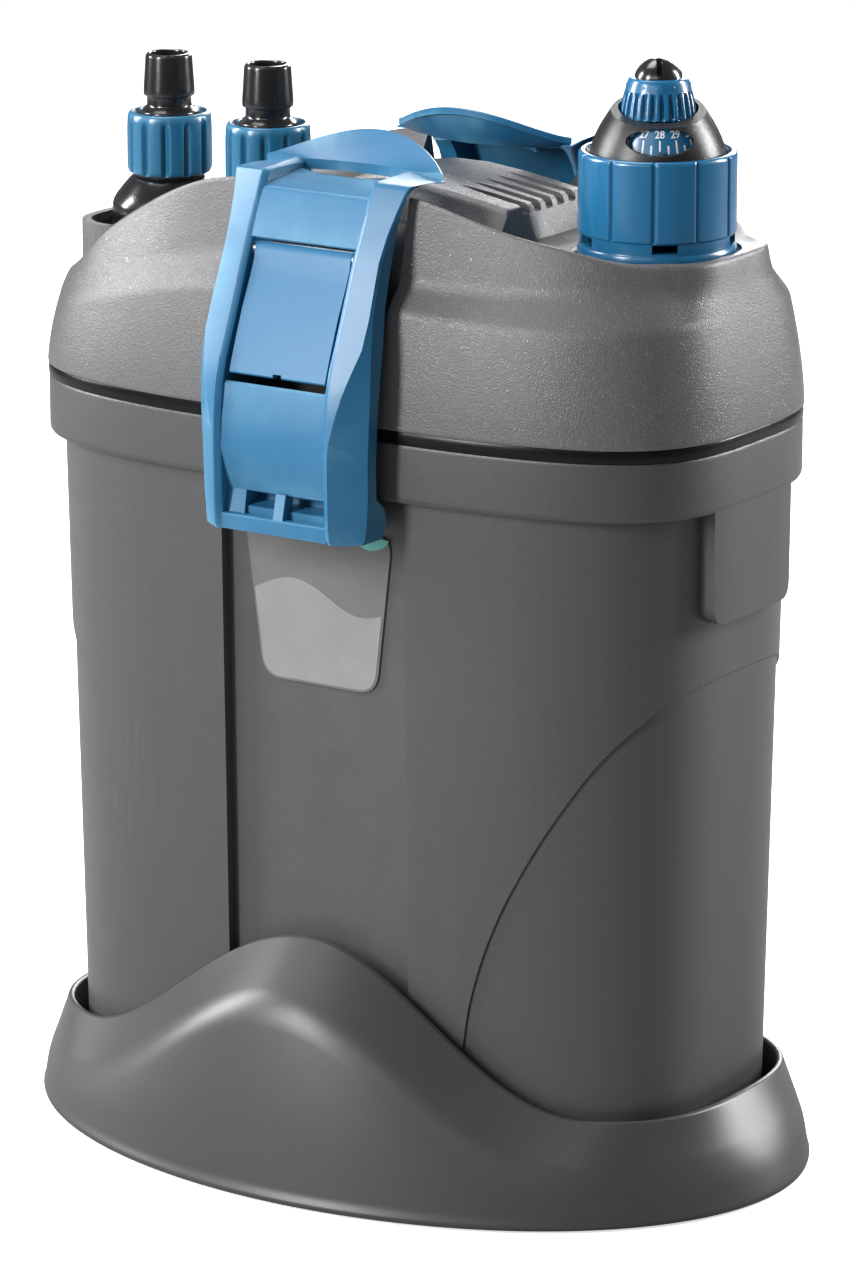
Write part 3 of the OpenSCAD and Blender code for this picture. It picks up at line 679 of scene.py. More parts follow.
# %% Pointer below the window
pointer = solid("dial_pointer", [
    toward(21.6, LOOK - 0.055, CONE_Z + 3.0), toward(21.6, LOOK + 0.055, CONE_Z + 3.0),
    toward(19.6, LOOK + 0.055, CONE_Z + 3.0), toward(19.6, LOOK - 0.055, CONE_Z + 3.0),
    toward(20.8, LOOK, CONE_Z + 5.0), toward(19.7, LOOK, CONE_Z + 5.0),
], [(0, 1, 4), (3, 5, 2), (0, 4, 5, 3), (1, 2, 5, 4), (0, 3, 2, 1)])
wear_finish(pointer, black_matte, "housing")

# %% [markdown]
# The knob is turned with two dozen flutes, and a plain band above them carries a ring of tiny
# raised marks. A flute is a dip in the radius that fades out towards the band, so one function
# of the angle shapes them all.

# %% Temperature knob
KNOB_Z = CONE_Z + 13.3


def rib(angle):
    t = (angle / 15.0) % 1.0
    wave = math.cos(2 * math.pi * t)
    return -0.5 + 0.5 * wave if 0.2 < t < 0.8 else -0.14 * (1 - wave)


knob_rows = [
    (0, 0), (12.3, 0), (12.6, 0.3, 0.6), (12.55, 1.2, 1.5), (12.3, 3.2, 1.7),
    (11.95, 5.2, 1.6), (11.55, 7.0, 1.35), (11.2, 8.2, 0.9), (11.0, 8.8, 0.0),
    (10.75, 9.8), (10.2, 11.6), (9.75, 12.6), (9.3, 13.0), (0, 13.0),
]
knob = turned("knob_ribbed", HEATER_X, KNOB_Z, knob_rows, 360, rib)
wear_finish(knob, collar_blue, "temperature_knob", ["heater_knob"], 45)
dots = []
for i in range(12):
    angle = LOOK + math.radians(30 * i)
    centre = Vector(toward(10.48, angle, KNOB_Z + 10.7))
    across = Vector((-math.sin(angle), math.cos(angle), 0))
    out = Vector((math.cos(angle), math.sin(angle), 0.28)).normalized()
    up = out.cross(across)
    radius = 0.85 if i == 0 else (0.55 if i % 2 else 0.35)
    turns = [2 * math.pi * k / 14 for k in range(14)]
    dots.append(skin("dot", [
        [centre + (across * math.cos(t) + up * math.sin(t)) * (radius - inset) + out * height
         for t in turns]
        for inset, height in ((0, 0), (0.14, 0.2), (0.3, 0.16))]))
knob_dots = join("knob_marks", dots)
wear_finish(knob_dots, collar_blue, "temperature_knob")

# %% Cap with its slot
CAP_Z = KNOB_Z + 12.9
cap = turned("cap_domed", HEATER_X, CAP_Z, [
    (0, 0), (8.0, 0), (8.0, 0.5), (7.5, 1.9), (6.4, 3.5), (4.9, 4.9),
    (3.3, 5.8), (1.9, 6.3), (0.8, 6.45), (0, 6.45)], 72)
slot_tool = slab("slot", [(0.8, 0), (12, 0), (12, 8), (0.8, 8)], -0.85, 0.85, "y")
slot_tool.data.transform(
    Matrix.Translation(Vector((HEATER_X, 0, CAP_Z + 1.6)) * MM) @ Matrix.Rotation(LOOK, 4, "Z"))
carve(cap, slot_tool)
soften(cap, 0.3, 45, 2)
wear_finish(cap, black_gloss, "temperature_knob", ["heater_cap"])

# %% [markdown]
# The locking collar is a sleeve with eleven broad flats for wet hands. Narrow grooves part
# the flats, a plain lip runs below them, and five small windows show the bayonet lugs.

# %% Heater collar
COLLAR_Z = DECK_Z - 6.2
FLAT_TURN = 32.73  # eleven flats round the sleeve


def flat_panel(angle):
    t = ((angle + 45) / FLAT_TURN + 0.5) % 1.0
    near = min(t, 1 - t) * FLAT_TURN
    return -1.0 if near < 1.1 else (-0.45 * (1 - ease((near - 1.1) / 1.6)) if near < 2.7 else 0.0)


collar = turned("collar_fluted", HEATER_X, COLLAR_Z, [
    (23.3, 0.1), (26.1, 0.1), (26.5, 0.5), (26.6, 8.2),
    (26.4, 9.6), (26.0, 10.0), (25.8, 10.4), (25.8, 13.9),
    (25.9, 14.3), (26.3, 14.6, 0.5), (26.5, 15.0, 0.8), (26.4, 22, 0.85),
    (26.4, 40.0, 0.85), (26.2, 40.7, 0.7), (25.8, 41.2, 0.3),
    (25.3, 41.5), (24.5, 41.5), (24.1, 41.1), (24.0, 39.5),
    (23.2, 38.6), (22.9, 8), (23.3, 6),
], 396, flat_panel)
for angle in range(-125, 164, 72):
    cut = slab("lug_window", [(16, -4.3), (40, -4.3), (40, 4.3), (16, 4.3)],
               COLLAR_Z + 11.0, COLLAR_Z + 14.1, "z")
    cut.data.transform(
        Matrix.Translation((HEATER_X * MM, 0, 0)) @ Matrix.Rotation(math.radians(angle), 4, "Z"))
    carve(collar, cut)
wear_finish(collar, collar_blue, "collar", ["heater_collar"], 45)

# %% [markdown]
# Two hose stubs stand in a black connector block, and each is held by a blue union nut. The
# stubs and the stepped domes under them are turned profiles. The nuts are turned too, with
# broad rounded ribs made by a function of the angle.


# %% Hose stubs
def stub(name, x, node):
    inner = 6.3
    piece = turned(name, x, STUB_Z, [
        (inner, 0), (11.8, 0), (11.8, 1.9), (10, 2.2), (10, 9.3), (9.8, 9.7), (9.2, 10.2),
        (8.0, 11.4), (7.75, 12), (7.75, 14.6), (7.9, 15.0), (8.75, 15.3), (8.9, 15.7),
        (8.88, 17.4), (8.1, 28.6), (7.95, 29.3), (7.4, 29.9), (6.8, 30), (6.45, 29.8),
        (inner, 29.3)], 72)
    return wear_finish(piece, black_gloss, "hose_block", [node], 30)


stub("stub_left", HOSE_X[0], "hose_stub_left")
stub("stub_right", HOSE_X[1], "hose_stub_right")


# %% Union nuts
def nut_rib(angle):
    t = (angle / 30.0) % 1.0
    near = min(t, 1 - t) * 30
    return -1.3 * ease(1 - near / 7.5) if near < 7.5 else 0.0


def nut(name, x, node, body):
    piece = turned(name, x, ADAPTER_Z + 20.5, [
        (12.4, 0.1), (13.6, 0.1), (14.2, 0.4, 0.6), (14.7, 1.4, 1.0), (14.8, 3, 1.15),
        (14.8, 15, 1.15), (14.7, 17.6, 0.9), (14.65, 18.6, 0.4), (14.6, 19.6, 0.1), (14.3, 20.7),
        (13.8, 21.3), (13.2, 21.5), (12.8, 21.4), (12.5, 20.9), (11.4, 18.6), (10.6, 17.2),
        (10.4, 16.8), (10.4, 14.5), (12.4, 14.3)], 288, nut_rib)
    return wear_finish(piece, nut_blue, body, [node], 40)


nut_blue = plastic("nut_blue", (0.01, 0.115, 0.22), (0.16, 0.38, 0.6), 0.28, 2600, 0.00003,
                   wear=0.4, coat=0.2)
nut("nut_left_ribbed", HOSE_X[0], "union_nut_left", "nut_left")
nut("nut_right_ribbed", HOSE_X[1], "union_nut_right", "nut_right")

# %% Connector block with its domes
block_outline = []
for cx, cy, start in ((-52, 12.4, 0), (-111.6, 12.4, 90), (-111.6, -12.4, 180), (-52, -12.4, 270)):
    block_outline += arc(cx, cy, 13.4, start, start + 90, 10)
# The top edge is rounded by rings that are drawn in by a small inset.
BLOCK_HALF_LEN, BLOCK_HALF_WID = 46, 27
block = skin("connector", [
    [(x, y, z) for x, y in (block_outline if not inset else [
        (HOSE_MID_X + (x - HOSE_MID_X) * (1 - inset / BLOCK_HALF_LEN),
         y * (1 - inset / BLOCK_HALF_WID)) for x, y in block_outline])]
    for z, inset in ((ADAPTER_Z - 19.8, 0), (ADAPTER_Z - 4.6, 0), (ADAPTER_Z - 4.0, 0.3),
    (ADAPTER_Z - 3.8, 0.9))])
domes = [block]
for x in HOSE_X:
    domes.append(turned("dome", x, ADAPTER_Z, [
        (0, -8), (20.7, -8), (20.8, 1.8), (20.5, 2.5),
        (19.6, 2.9), (19.3, 3.4), (19.3, 5.2), (19.9, 5.9),
        (20.2, 6.8), (20.1, 9.6), (19.7, 11.0), (18.8, 12.6),
        (17.4, 14.4), (15.8, 16.4), (14.6, 17.8), (13.4, 19.0),
        (12.2, 19.6), (12.0, 31.8), (6.9, 31.8), (6.8, -45),
        (0, -45)], 96))
connector = join("connector_block", domes)
wear_finish(connector, black_gloss, "hose_block", ["hose_adapter"], 30)

# %% [markdown]
# A toggle latch on each long side pulls the head down. Its blue frame has two proud rails, a
# hooked foot with two windows, a lower and an upper panel, and a crescent grip on top. The
# rails twist from facing forward at the top to facing sideways below, so each is a skin of
# cross sections along the side profile of the latch.

# %% Rail of the latch frame
LATCH_HALF = 20.5


def rail(side):
    # Each station: front (y, z), back (y, z), outer x, reach of the front facet, and the drop
    # and depth of the outer face.
    stations = [
        ((-85.5, 228.9), (-72, 228.9), 30.0, 0.2, 4.0, 13.5),
        ((-88.6, 229.4), (-70.5, 229.2), 31.2, 0.2, 6.0, 18),
        ((-89.8, 231.5), (-69.5, 230.5), 32.0, 0.2, 8.0, 20),
        ((-90.2, 236.0), (-69, 236), 32.5, 0.2, 8.6, 21),
        ((-90.5, 240.0), (-69, 240), 32.8, 0.2, 8.8, 19),
        ((-90.6, 244.0), (-69, 244), 33.0, 0.2, 9.0, 14.0),
        ((-91.0, 258.0), (-69, 258), 33.2, 0.2, 9.0, 14.0),
        ((-91.0, 264.0), (-69, 264), 33.5, 0.8, 9.0, 14.0),
        ((-90.6, 272.0), (-69, 272), 33.8, 2.6, 8.6, 13.8),
        ((-89.6, 280.0), (-68, 280), 34.0, 4.6, 8.0, 13.4),
        ((-87.6, 287.0), (-67, 288), 33.8, 6.6, 6.6, 12.8),
        ((-84.0, 295.0), (-65, 298), 33.2, 8.6, 4.4, 11.6),
        ((-80.0, 304.5), (-62.5, 309), 32.2, 8.8, 3.2, 10.4),
        ((-76.2, 314.0), (-59.5, 319), 31.6, 8.4, 3.0, 10.0),
        ((-73.0, 322.0), (-57, 327), 31.4, 8.1, 2.8, 9.4),
        ((-69.0, 330.5), (-53.5, 335.5), 31.9, 8.7, 2.6, 7.4),
        ((-65.2, 338.5), (-50, 340), 33.0, 10.0, 2.4, 5.0),
        ((-62.2, 345.2), (-47.5, 342), 34.4, 11.5, 2.2, 3.4),
        ((-61.2, 346.6), (-46, 342.4), 34.8, 12.0, 1.2, 2.8),
        ((-59.8, 347.0), (-45, 342.8), 35.0, 12.2, 0.7, 2.8),
        ((-50.0, 347.3), (-43, 343.0), 35.4, 12.6, 0.5, 3.0),
        ((-39.5, 347.6), (-39.4, 343.4), 35.6, 12.8, 0.4, 3.0),
    ]
    rings = []
    for front, back, outer, facet, drop, side_depth in stations:
        front, back = Vector(front), Vector(back)
        inward = (back - front).normalized()
        depth = (back - front).length
        ridge_x = LATCH_HALF + 2.2
        facet_x = min(outer - 0.4, ridge_x + facet)
        facet_depth = min(depth * 0.8, 0.18 * facet)
        side_depth = min(side_depth, depth * 0.95)
        drop = min(drop, side_depth * 0.8)
        spots = [
            (LATCH_HALF, depth), (LATCH_HALF, 1.6), (LATCH_HALF + 0.5, 0.9), (ridge_x - 0.3, 0.05),
            (ridge_x + 0.3, 0),
            (facet_x, facet_depth), (outer, max(drop, facet_depth + 0.3)), (outer, side_depth),
            (27.6, side_depth + 0.02 * depth), (27.4, depth),
        ]
        rings.append([(side * x, front.x + inward.x * d, front.y + inward.y * d) for x, d in spots])
    return skin("rail", rings)


# %% [markdown]
# The panels between the rails are sheets that follow a side profile and are given thickness.
# The upper one ends in a hollow curve, which leaves room for fingers under the grip.

# %% Panels and foot of the latch frame
def sheet_panel(name, path, thick, half, rear=None, across=16):
    """A panel along a (y, z) path. rear moves the last row back towards the sides."""
    front_rows, back_rows = [], []
    for k, (y, z) in enumerate(path):
        before = Vector(path[max(0, k - 1)])
        after = Vector(path[min(len(path) - 1, k + 1)])
        along = (after - before).normalized()
        inward = Vector((along.y, -along.x))
        row_front, row_back = [], []
        for i in range(across + 1):
            x = -half + 2 * half * i / across
            shift = rear * (x / half) ** 2 if rear and k >= len(path) - 1 else 0
            row_front.append((x, y + shift, z))
            row_back.append((x, y + shift + inward.x * thick, z + inward.y * thick))
        front_rows.append(row_front)
        back_rows.append(row_back[::-1])
    return skin(name, [a + b for a, b in zip(front_rows, back_rows)])


# %% Pieces of the latch frame
def latch_frame_pieces():
    half = LATCH_HALF + 0.6
    lower = sheet_panel("lower", [
        (-83.4, 242.4), (-85.0, 243.2), (-87.6, 250.0), (-89.5, 257.4), (-88.9, 268.0),
        (-87.2, 279.2), (-86.4, 279.9)],
        2.6, half)
    upper = sheet_panel("upper", [
        (-66.6, 325.6), (-69.4, 325.3), (-70.3, 326.0), (-66.9, 333.5), (-63.4, 340.6),
        (-62.6, 341.5), (-61.4, 342.1),
        (-55.0, 343.3), (-48.0, 344.4)], 3.0, half, rear=7.5)
    bar = slab("bar", rounded([
        (-88.6, 229.6), (-89.0, 235.2), (-86.0, 235.4), (-85.6, 232.2), (-71, 232.0), (-71, 241.4),
        (-63.8, 241.4),
        (-63.8, 229.2)], 0.8, 3), -half, half)
    post = slab("post", [(-88.6, 234.6), (-86.4, 243.6), (-82.0, 243.6), (-82.6, 234.6)], -0.4, 3.4)
    ribs = [slab("rib", [(-84.4, 231.6), (-84.4, 237.6), (-75.4, 238.4), (-75.4, 231.6)], -half, half),
            slab("cheek", [(-86.8, 231.6), (-84.6, 243.6), (-75.4, 243.6),
            (-75.4, 231.6)], -half, -13.5)]
    back_wall = slab("back_wall", [(-76.4, 231), (-76.4, 262), (-73.9, 262), (-73.9, 231)], -half, half)
    return [rail(1), rail(-1), lower, upper, bar, post, back_wall] + ribs


# %% [markdown]
# The grip is a crescent. Its inner edge is low and its outer edge rises like the brim of a
# cap, so each cross section is a short bar whose ends follow two circles.

# %% Crescent grip
def grip():
    rings = []
    steps = 44
    inner_r, inner_y = 53.0, -88.2
    outer_r, outer_y = 47.2, -71.4
    for i in range(steps + 1):
        t = -1 + 2 * i / steps
        inner_a = math.asin(22.8 / inner_r) * t
        outer_a = math.asin(35.4 / outer_r) * t
        ix, iy = inner_r * math.sin(inner_a), inner_y + inner_r * math.cos(inner_a)
        ox, oy = outer_r * math.sin(outer_a), outer_y + outer_r * math.cos(outer_a)
        rise = 347.9 + 9.1 * math.cos(math.pi / 2 * abs(t)) ** 1.3
        low = 343.6
        top_in = 347.5
        mid = 0.55
        mx, my = ix + (ox - ix) * mid, iy + (oy - iy) * mid
        rings.append([
            (ix, iy, low + 0.2), (ix, iy, top_in - 0.3),
            (ix + (ox - ix) * 0.04, iy + (oy - iy) * 0.04, top_in),
            (mx, my, top_in + (rise - top_in) * 0.5),
            (ox - (ox - ix) * 0.04, oy - (oy - iy) * 0.04, rise),
            (ox, oy, rise - 0.3), (ox, oy, rise - 2.3),
            (ox - (ox - ix) * 0.1, oy - (oy - iy) * 0.1, rise - 2.8),
            (mx, my, low + (rise - top_in) * 0.42), (ix + (ox - ix) * 0.3, iy + (oy - iy) * 0.3, low),
        ])
    return skin("grip", rings)


# %% Latch frames, front and rear
def mirror(piece):
    """The rear latch is the front one mirrored, so its faces are turned back outwards."""
    piece.data.transform(Matrix.Scale(-1, 4, (0, 1, 0)))
    piece.data.flip_normals()


def latch_frame(name, rear, nodes, body):
    piece = join(name, latch_frame_pieces() + [grip()])
    if rear:
        mirror(piece)
    soften(piece, 0.45, 24, 2)
    return wear_finish(piece, latch_blue, body, nodes, 32)


latch_frame("latch_frame_front_detailed", False, ["latch_frame_front"], "frame_front")
latch_frame("latch_frame_rear_detailed", True, ["latch_frame_rear"], "frame_rear")


# %% Middle panel, the link of the toggle
def latch_link(name, rear, nodes, body):
    half = 19.25
    face = slab("face", [
        (-83.6, 282.3), (-85.9, 282.5), (-86.3, 283.1), (-82.7, 293.0), (-78.6, 303.2),
        (-73.9, 313.0), (-71.4, 318.8),
        (-71.0, 321.4), (-70.3, 323.2), (-69.0, 324.2), (-67.6, 324.2), (-66.4, 323.2), (-66.0, 321.2),
        (-67.9, 317.4), (-70.9, 311.4), (-75.6, 301.8), (-79.7, 291.6), (-82.9, 283.6)],
        -half, half)
    arms = [
        slab("arm", rounded([(-83.2, 284.8), (-79.6, 293.6), (-72.0, 290.3), (-67.9, 285.7),
        (-72.0, 281.5)], 2.0, 5),
             x, x + 4.7) for x in (-17.6, 12.9)]
    notch = slab("notch", [(-88, 281), (-88, 283.9), (-80, 283.9), (-80, 281)], -1.6, 1.6)
    carve(face, notch)
    piece = join(name, [face] + arms)
    if rear:
        mirror(piece)
    soften(piece, 0.5, 40, 3)
    return wear_finish(piece, latch_blue, body, nodes, 32)


latch_link("latch_link_front_detailed", False, ["latch_link_front"], "link_front")
latch_link("latch_link_rear_detailed", True, ["latch_link_rear"], "link_rear")

# %% [markdown]
# The pump head is one big moulding. Its outline is an oval with flat sides, and its height
# changes along the length: the crest is high beside the latches and sinks towards both ends.
# So each column of the mesh gets its own side profile, read from a few smooth curves.


# %% Curves along the length of the head
def along(x, knots):
    """A smooth curve through (x, value) knots."""
    if x <= knots[0][0]:
        return knots[0][1]
    if x >= knots[-1][0]:
        return knots[-1][1]
    for k in range(len(knots) - 1):
        (x0, v0), (x1, v1) = knots[k], knots[k + 1]
        if x <= x1:
            before = knots[max(0, k - 1)]
            after = knots[min(len(knots) - 1, k + 2)]
            m0 = (v1 - before[1]) / (x1 - before[0]) * (x1 - x0)
            m1 = (after[1] - v0) / (after[0] - x0) * (x1 - x0)
            t = (x - x0) / (x1 - x0)
            return ((2 * t ** 3 - 3 * t ** 2 + 1) * v0 + (t ** 3 - 2 * t ** 2 + t) * m0
                    + (3 * t ** 2 - 2 * t ** 3) * v1 + (t ** 3 - t ** 2) * m1)


# %% Creases, crest and valley of the head
# Heights are above the seal band; insets are in from the rim outline.
LOW_CREASE = [(-134, 20), (-118, 21), (-112, 23.3), (-100, 27), (-79, 32.3), (-61, 36.3),
              (-42, 39.4), (-20, 40),
              (20, 39.3), (33, 38.8), (52, 37.8), (80, 37.3), (105, 37.3), (123, 38.3), (134, 38.6)]
HIGH_CREASE = [(-134, 27), (-116, 28), (-109, 30.5), (-92, 37.3), (-75, 42.6), (-58, 46.4),
               (-40, 49.3), (-20, 49.3),
               (20, 48.3), (33, 47.3), (60, 46.9), (87, 47.8), (107, 48.8), (134, 48.5)]
CREST = [(-134, 32), (-122, 33), (-114, 36.3), (-107, 41.3), (-101, 47), (-92, 53.8), (-83, 59.3),
         (-68, 67.3),
         (-54, 73), (-42, 75.8), (-30, 76.8), (0, 77.6), (30, 76.8), (36, 76.2), (48, 73.3),
         (60, 69.8), (73, 66.6),
         (83, 64.6), (93, 62.2), (102, 59.8), (110, 58.5), (134, 58.2)]
VALLEY = [(-134, 30), (-110, 34), (-90, 42), (-60, 52), (-38, 60), (0, 62), (38, 59), (52, 56),
          (64, 55), (134, 55)]
LOW_INSET = [(-130, 3), (-110, 3), (-80, 4), (-40, 4.6), (134, 4.6)]
HIGH_INSET = [(-130, 4.5), (-115, 5), (-95, 7), (-70, 9), (-40, 11), (90, 11.5), (118, 11),
              (124, 8.5), (128, 6.5)]
CREST_INSET = [(-128, 7), (-115, 8), (-100, 11), (-85, 14), (-60, 15), (105, 15), (115, 14),
               (121, 11), (126, 8)]
DEEP_INSET = 32     # inset of the innermost ring
MIDDLE_END = 38.5   # the even columns between the latches end here
FLAT_END = 70.0     # the flat sides end here and the round ends start
END_ANGLE = 58      # the angle, on a plain scale, that a round end's columns cover


# %% Columns of the head
def column_list():
    """Half outline stations from the left tip to the right tip: ("x", x) or ("a", angle)."""
    ends = 34
    left = [("a", 180 - END_ANGLE * i / ends) for i in range(ends)]
    inner = [-FLAT_END + (FLAT_END - MIDDLE_END) * i / 10 for i in range(10)]
    middle = [-MIDDLE_END + 2 * MIDDLE_END * i / 10 for i in range(10)]
    outer = [MIDDLE_END + (FLAT_END - MIDDLE_END) * i / 10 for i in range(11)]
    right = [("a", END_ANGLE - END_ANGLE * (i + 1) / ends) for i in range(ends)]
    return left + [("x", x) for x in inner + middle + outer] + right


def head_point(station, inset):
    """Where a station of the half outline lies for an inset: (x, |y|)."""
    a, b = HALF_LEN + 0.4 - inset, HALF_WID + 0.4 - inset
    n = 3.4 - 0.02 * inset
    kind, value = station
    if kind == "x":
        return value, b * (1 - abs(value / a) ** n) ** (1 / n)
    # The angle runs between the tip and the end of the flat side, on the unit oval.
    share = FLAT_END / a
    join_angle = math.degrees(math.atan2((1 - share ** n) ** (1 / n), share))
    turn = join_angle / END_ANGLE
    angle = math.radians(value * turn if value < 90 else 180 - (180 - value) * turn)
    reach = (abs(math.cos(angle)) ** n + abs(math.sin(angle)) ** n) ** (-1 / n)
    return a * math.cos(angle) * reach, b * math.sin(angle) * reach


# %% Side profile of a column
def chain_fillet(points, radii, steps=4):
    """Rounds the inner corners of an open chain of vectors."""
    made = [points[0]]
    for k in range(1, len(points) - 1):
        before, after = points[k - 1] - points[k], points[k + 1] - points[k]
        reach = min(radii[k - 1], before.length * 0.48, after.length * 0.48)
        if reach < 0.05:
            made.append(points[k])
            continue
        a, b = points[k] + before.normalized() * reach, points[k] + after.normalized() * reach
        for i in range(steps + 1):
            t = i / steps
            made.append(a * (1 - t) ** 2 + points[k] * 2 * t * (1 - t) + b * t * t)
    return made + [points[-1]]


def head_profile(station):
    """The side profile of one column: points of (inset from the rim outline, height)."""
    def at(inset_knots):
        # The inset moves the column along the oval, so a few rounds settle both.
        inset = 6.0
        for _ in range(5):
            x = head_point(station, inset)[0]
            inset = along(x, inset_knots)
        return x, inset

    x_low, low_in = at(LOW_INSET)
    x_high, high_in = at(HIGH_INSET)
    x_crest, crest_in = at(CREST_INSET)
    low_z, high_z, crest_z = along(x_low, LOW_CREASE), along(x_high, HIGH_CREASE), along(x_crest, CREST)
    chain = [Vector((0.1, 0, 0)), Vector((0, 0.8, 0))]
    for share in (0.2, 0.4, 0.6, 0.8):
        chain.append(Vector((low_in * share ** 1.6, low_z * share, 0)))
    chain += [Vector((low_in, low_z, 0)), Vector((high_in, high_z, 0)), Vector((crest_in, crest_z, 0))]
    valley_z = along(head_point(station, crest_in + 5)[0], VALLEY)
    dip_z = min(crest_z - 1.2, valley_z + (crest_z - valley_z) * 0.45)
    chain.append(Vector((crest_in + 5.5, dip_z, 0)))
    chain.append(Vector((DEEP_INSET, along(head_point(station, DEEP_INSET)[0], VALLEY), 0)))
    radii = [0.3, 3, 3, 3, 3, 2.2, 3.2, 2.6, 2.5]
    return chain_fillet(chain, radii)


# %% Head surface
stations = column_list()
profiles = [head_profile(s) for s in stations]
rows = len(profiles[0])
assert all(len(p) == rows for p in profiles)


def head_ring(k):
    front, back = [], []
    for station, profile in zip(stations, profiles):
        x, y = head_point(station, profile[k].x)
        z = SEAL_Z + profile[k].y
        front.append((x, -y, z))
        back.append((x, y, z))
    return front, back


# The two halves meet at the tips, so the back half is walked the other way.
rings = []
for k in range(rows):
    front, back = head_ring(k)
    rings.append(front + back[::-1])
count = len(rings[0])
half_count = len(stations)
points = [p for ring in rings for p in ring]
faces = band_faces(count, rows)
faces.append(tuple(reversed(range(count))))
# The top is closed by strips of faces across the head, from the front half to the back half.
across = 6
top = (rows - 1) * count
grid = []
for i in range(half_count):
    f, b = Vector(points[top + i]), Vector(points[top + count - 1 - i])
    line = [top + i]
    for s in range(1, across):
        grid_point = f.lerp(b, s / across)
        points.append(tuple(grid_point))
        line.append(len(points) - 1)
    grid.append(line + [top + count - 1 - i])
for i in range(half_count - 1):
    for s in range(across):
        faces.append((grid[i][s], grid[i + 1][s], grid[i + 1][s + 1], grid[i][s + 1]))
for line in (grid[0], grid[-1]):
    faces.append(tuple(line))
head = solid("head_moulding", points, faces)
print("head surface:", len(head.data.polygons), "faces")

# %% [markdown]
# Details are added and cut the way inserts shape the mould: the tower round the hose block,
# the ribbed spine, the two channels for the latches, and the seats of the block and heater.


# %% Tower, spine and seats of the head
def box_outline(x0, x1, half, radius, steps=8):
    made = []
    for cx, cy, start in ((x1 - radius, half - radius, 0), (x0 + radius, half - radius, 90),
                          (x0 + radius, -half + radius, 180), (x1 - radius, -half + radius, 270)):
        made += arc(cx, cy, radius, start, start + 90, steps)
    return made


TOWER_X0, TOWER_X1, TOWER_HALF = -129.2, -34.5, 30.2
tower_outline = box_outline(TOWER_X0, TOWER_X1, TOWER_HALF, 17)
carve(head, slab("tower", tower_outline, SEAL_Z + 20, SEAL_Z + 46.3, "z"), "UNION")
spine_rows = []
for x, z in ((-22, 69), (-14, 71.5), (0, 73.5), (14, 73.4), (28, 71.8), (40, 69.8), (49.5, 68.2),
             (50.8, 67.0), (54.0, 52)):
    half = [(34, 40), (31.5, min(56, z - 4)), (25.5, z - 2.2), (23.8, z - 0.5), (22.0, z)]
    spine_rows.append([(x, -y, SEAL_Z + h) for y, h in half]
                      + [(x, y, SEAL_Z + h) for y, h in reversed(half)])
carve(head, skin("spine", spine_rows), "UNION")
carve(head, turned("deck_disc", HEATER_X, SEAL_Z, [
    (0, 44), (31.5, 44), (31.5, 54.6), (30.9, 55.2), (0, 55.2)], 96),
    "UNION")


# %% Channels, pocket and heater seat
def channel_half(z):
    """The channels of the latches open a little towards the top."""
    return GAP_HALF + 3.6 * (z - SEAL_Z) / 76


for side in (-1, 1):
    section = [
        (HALF_WID + 9, SEAL_Z - 1), (HALF_WID - 13, SEAL_Z - 1), (HALF_WID - 13, SEAL_Z + 51),
        (HALF_WID - 35, SEAL_Z + 69),
        (HALF_WID - 50, SEAL_Z + 74), (HALF_WID - 52, SEAL_Z + 92), (HALF_WID + 9, SEAL_Z + 92)]
    carve(head, skin("channel", [
        [(half * channel_half(z), side * y, z) for y, z in section] for half in (-1, 1)]))
TOWER_WALL = 3.2
pocket_outline = box_outline(
    TOWER_X0 + TOWER_WALL, TOWER_X1 - TOWER_WALL, TOWER_HALF - TOWER_WALL, 14)
carve(head, slab("pocket", pocket_outline, SEAL_Z + 21.5, SEAL_Z + 90, "z"))
carve(head, turned("heater_seat", HEATER_X, SEAL_Z, [
    (0, 46.5), (27.2, 46.5), (27.2, 54.2), (28.2, 55.0), (28.2, 90),
    (0, 90)], 96))
# %% Grooves of the spine
grooves = []
for i in range(-2, 3):
    y = i * 7.2 + 1
    path = [(24.5, 72.4, 0.1), (30, 70.6, 1.2), (37, 68.4, 1.9), (46, 66.2, 2.1), (56, 64.0, 2.1)]
    grooves.append(skin("groove", [
        [(x, y - wide, SEAL_Z + z), (x, y - wide - 0.5, SEAL_Z + 80), (x, y + wide + 0.5, SEAL_Z + 80),
         (x, y + wide, SEAL_Z + z), (x, y, SEAL_Z + z - 0.3)] for x, z, wide in path]))
for groove in grooves:
    carve(head, groove)
print("head with its details:", len(head.data.polygons), "faces")

# %% Lugs that carry the latch hinges
for side in (-1, 1):
    lug = slab("lug", rounded([
        (side * 76.4, SEAL_Z + 19), (side * 74, SEAL_Z + 23.4), (side * 56, SEAL_Z + 23.4),
        (side * 56, SEAL_Z + 14.6),
        (side * 74, SEAL_Z + 14.6)], 3, 4), -12.4, 12.4)
    carve(head, lug, "UNION")
soften(head, 0.7, 48, 2)
wear_finish(head, head_grey, "housing", ["head_shell"], 40)

# %% [markdown]
# The container hangs from the rim flange. Its walls lean in a little, each long side has a
# flat recess in the middle, and a curved step runs down the rest of the side. The step is
# made by joining a slightly slimmer body with the part of the full body inside the curve.


# %% Ovals of the container
def oval(a, b, n, steps):
    """Points of an oval with half axes a and b. A higher n gives flatter sides."""
    made = []
    for i in range(steps):
        t = 2 * math.pi * i / steps
        reach = (abs(math.cos(t)) ** n + abs(math.sin(t)) ** n) ** (-1 / n)
        made.append((a * math.cos(t) * reach, b * math.sin(t) * reach))
    return made


def oval_ring(a, b, z):
    return [(x, y, z) for x, y in oval(a, b, 3.4, 200)]


def rim_ring(out, z):
    """A ring that lies a little outside, or inside, the rim outline."""
    return oval_ring(HALF_LEN + out, HALF_WID + out, z)


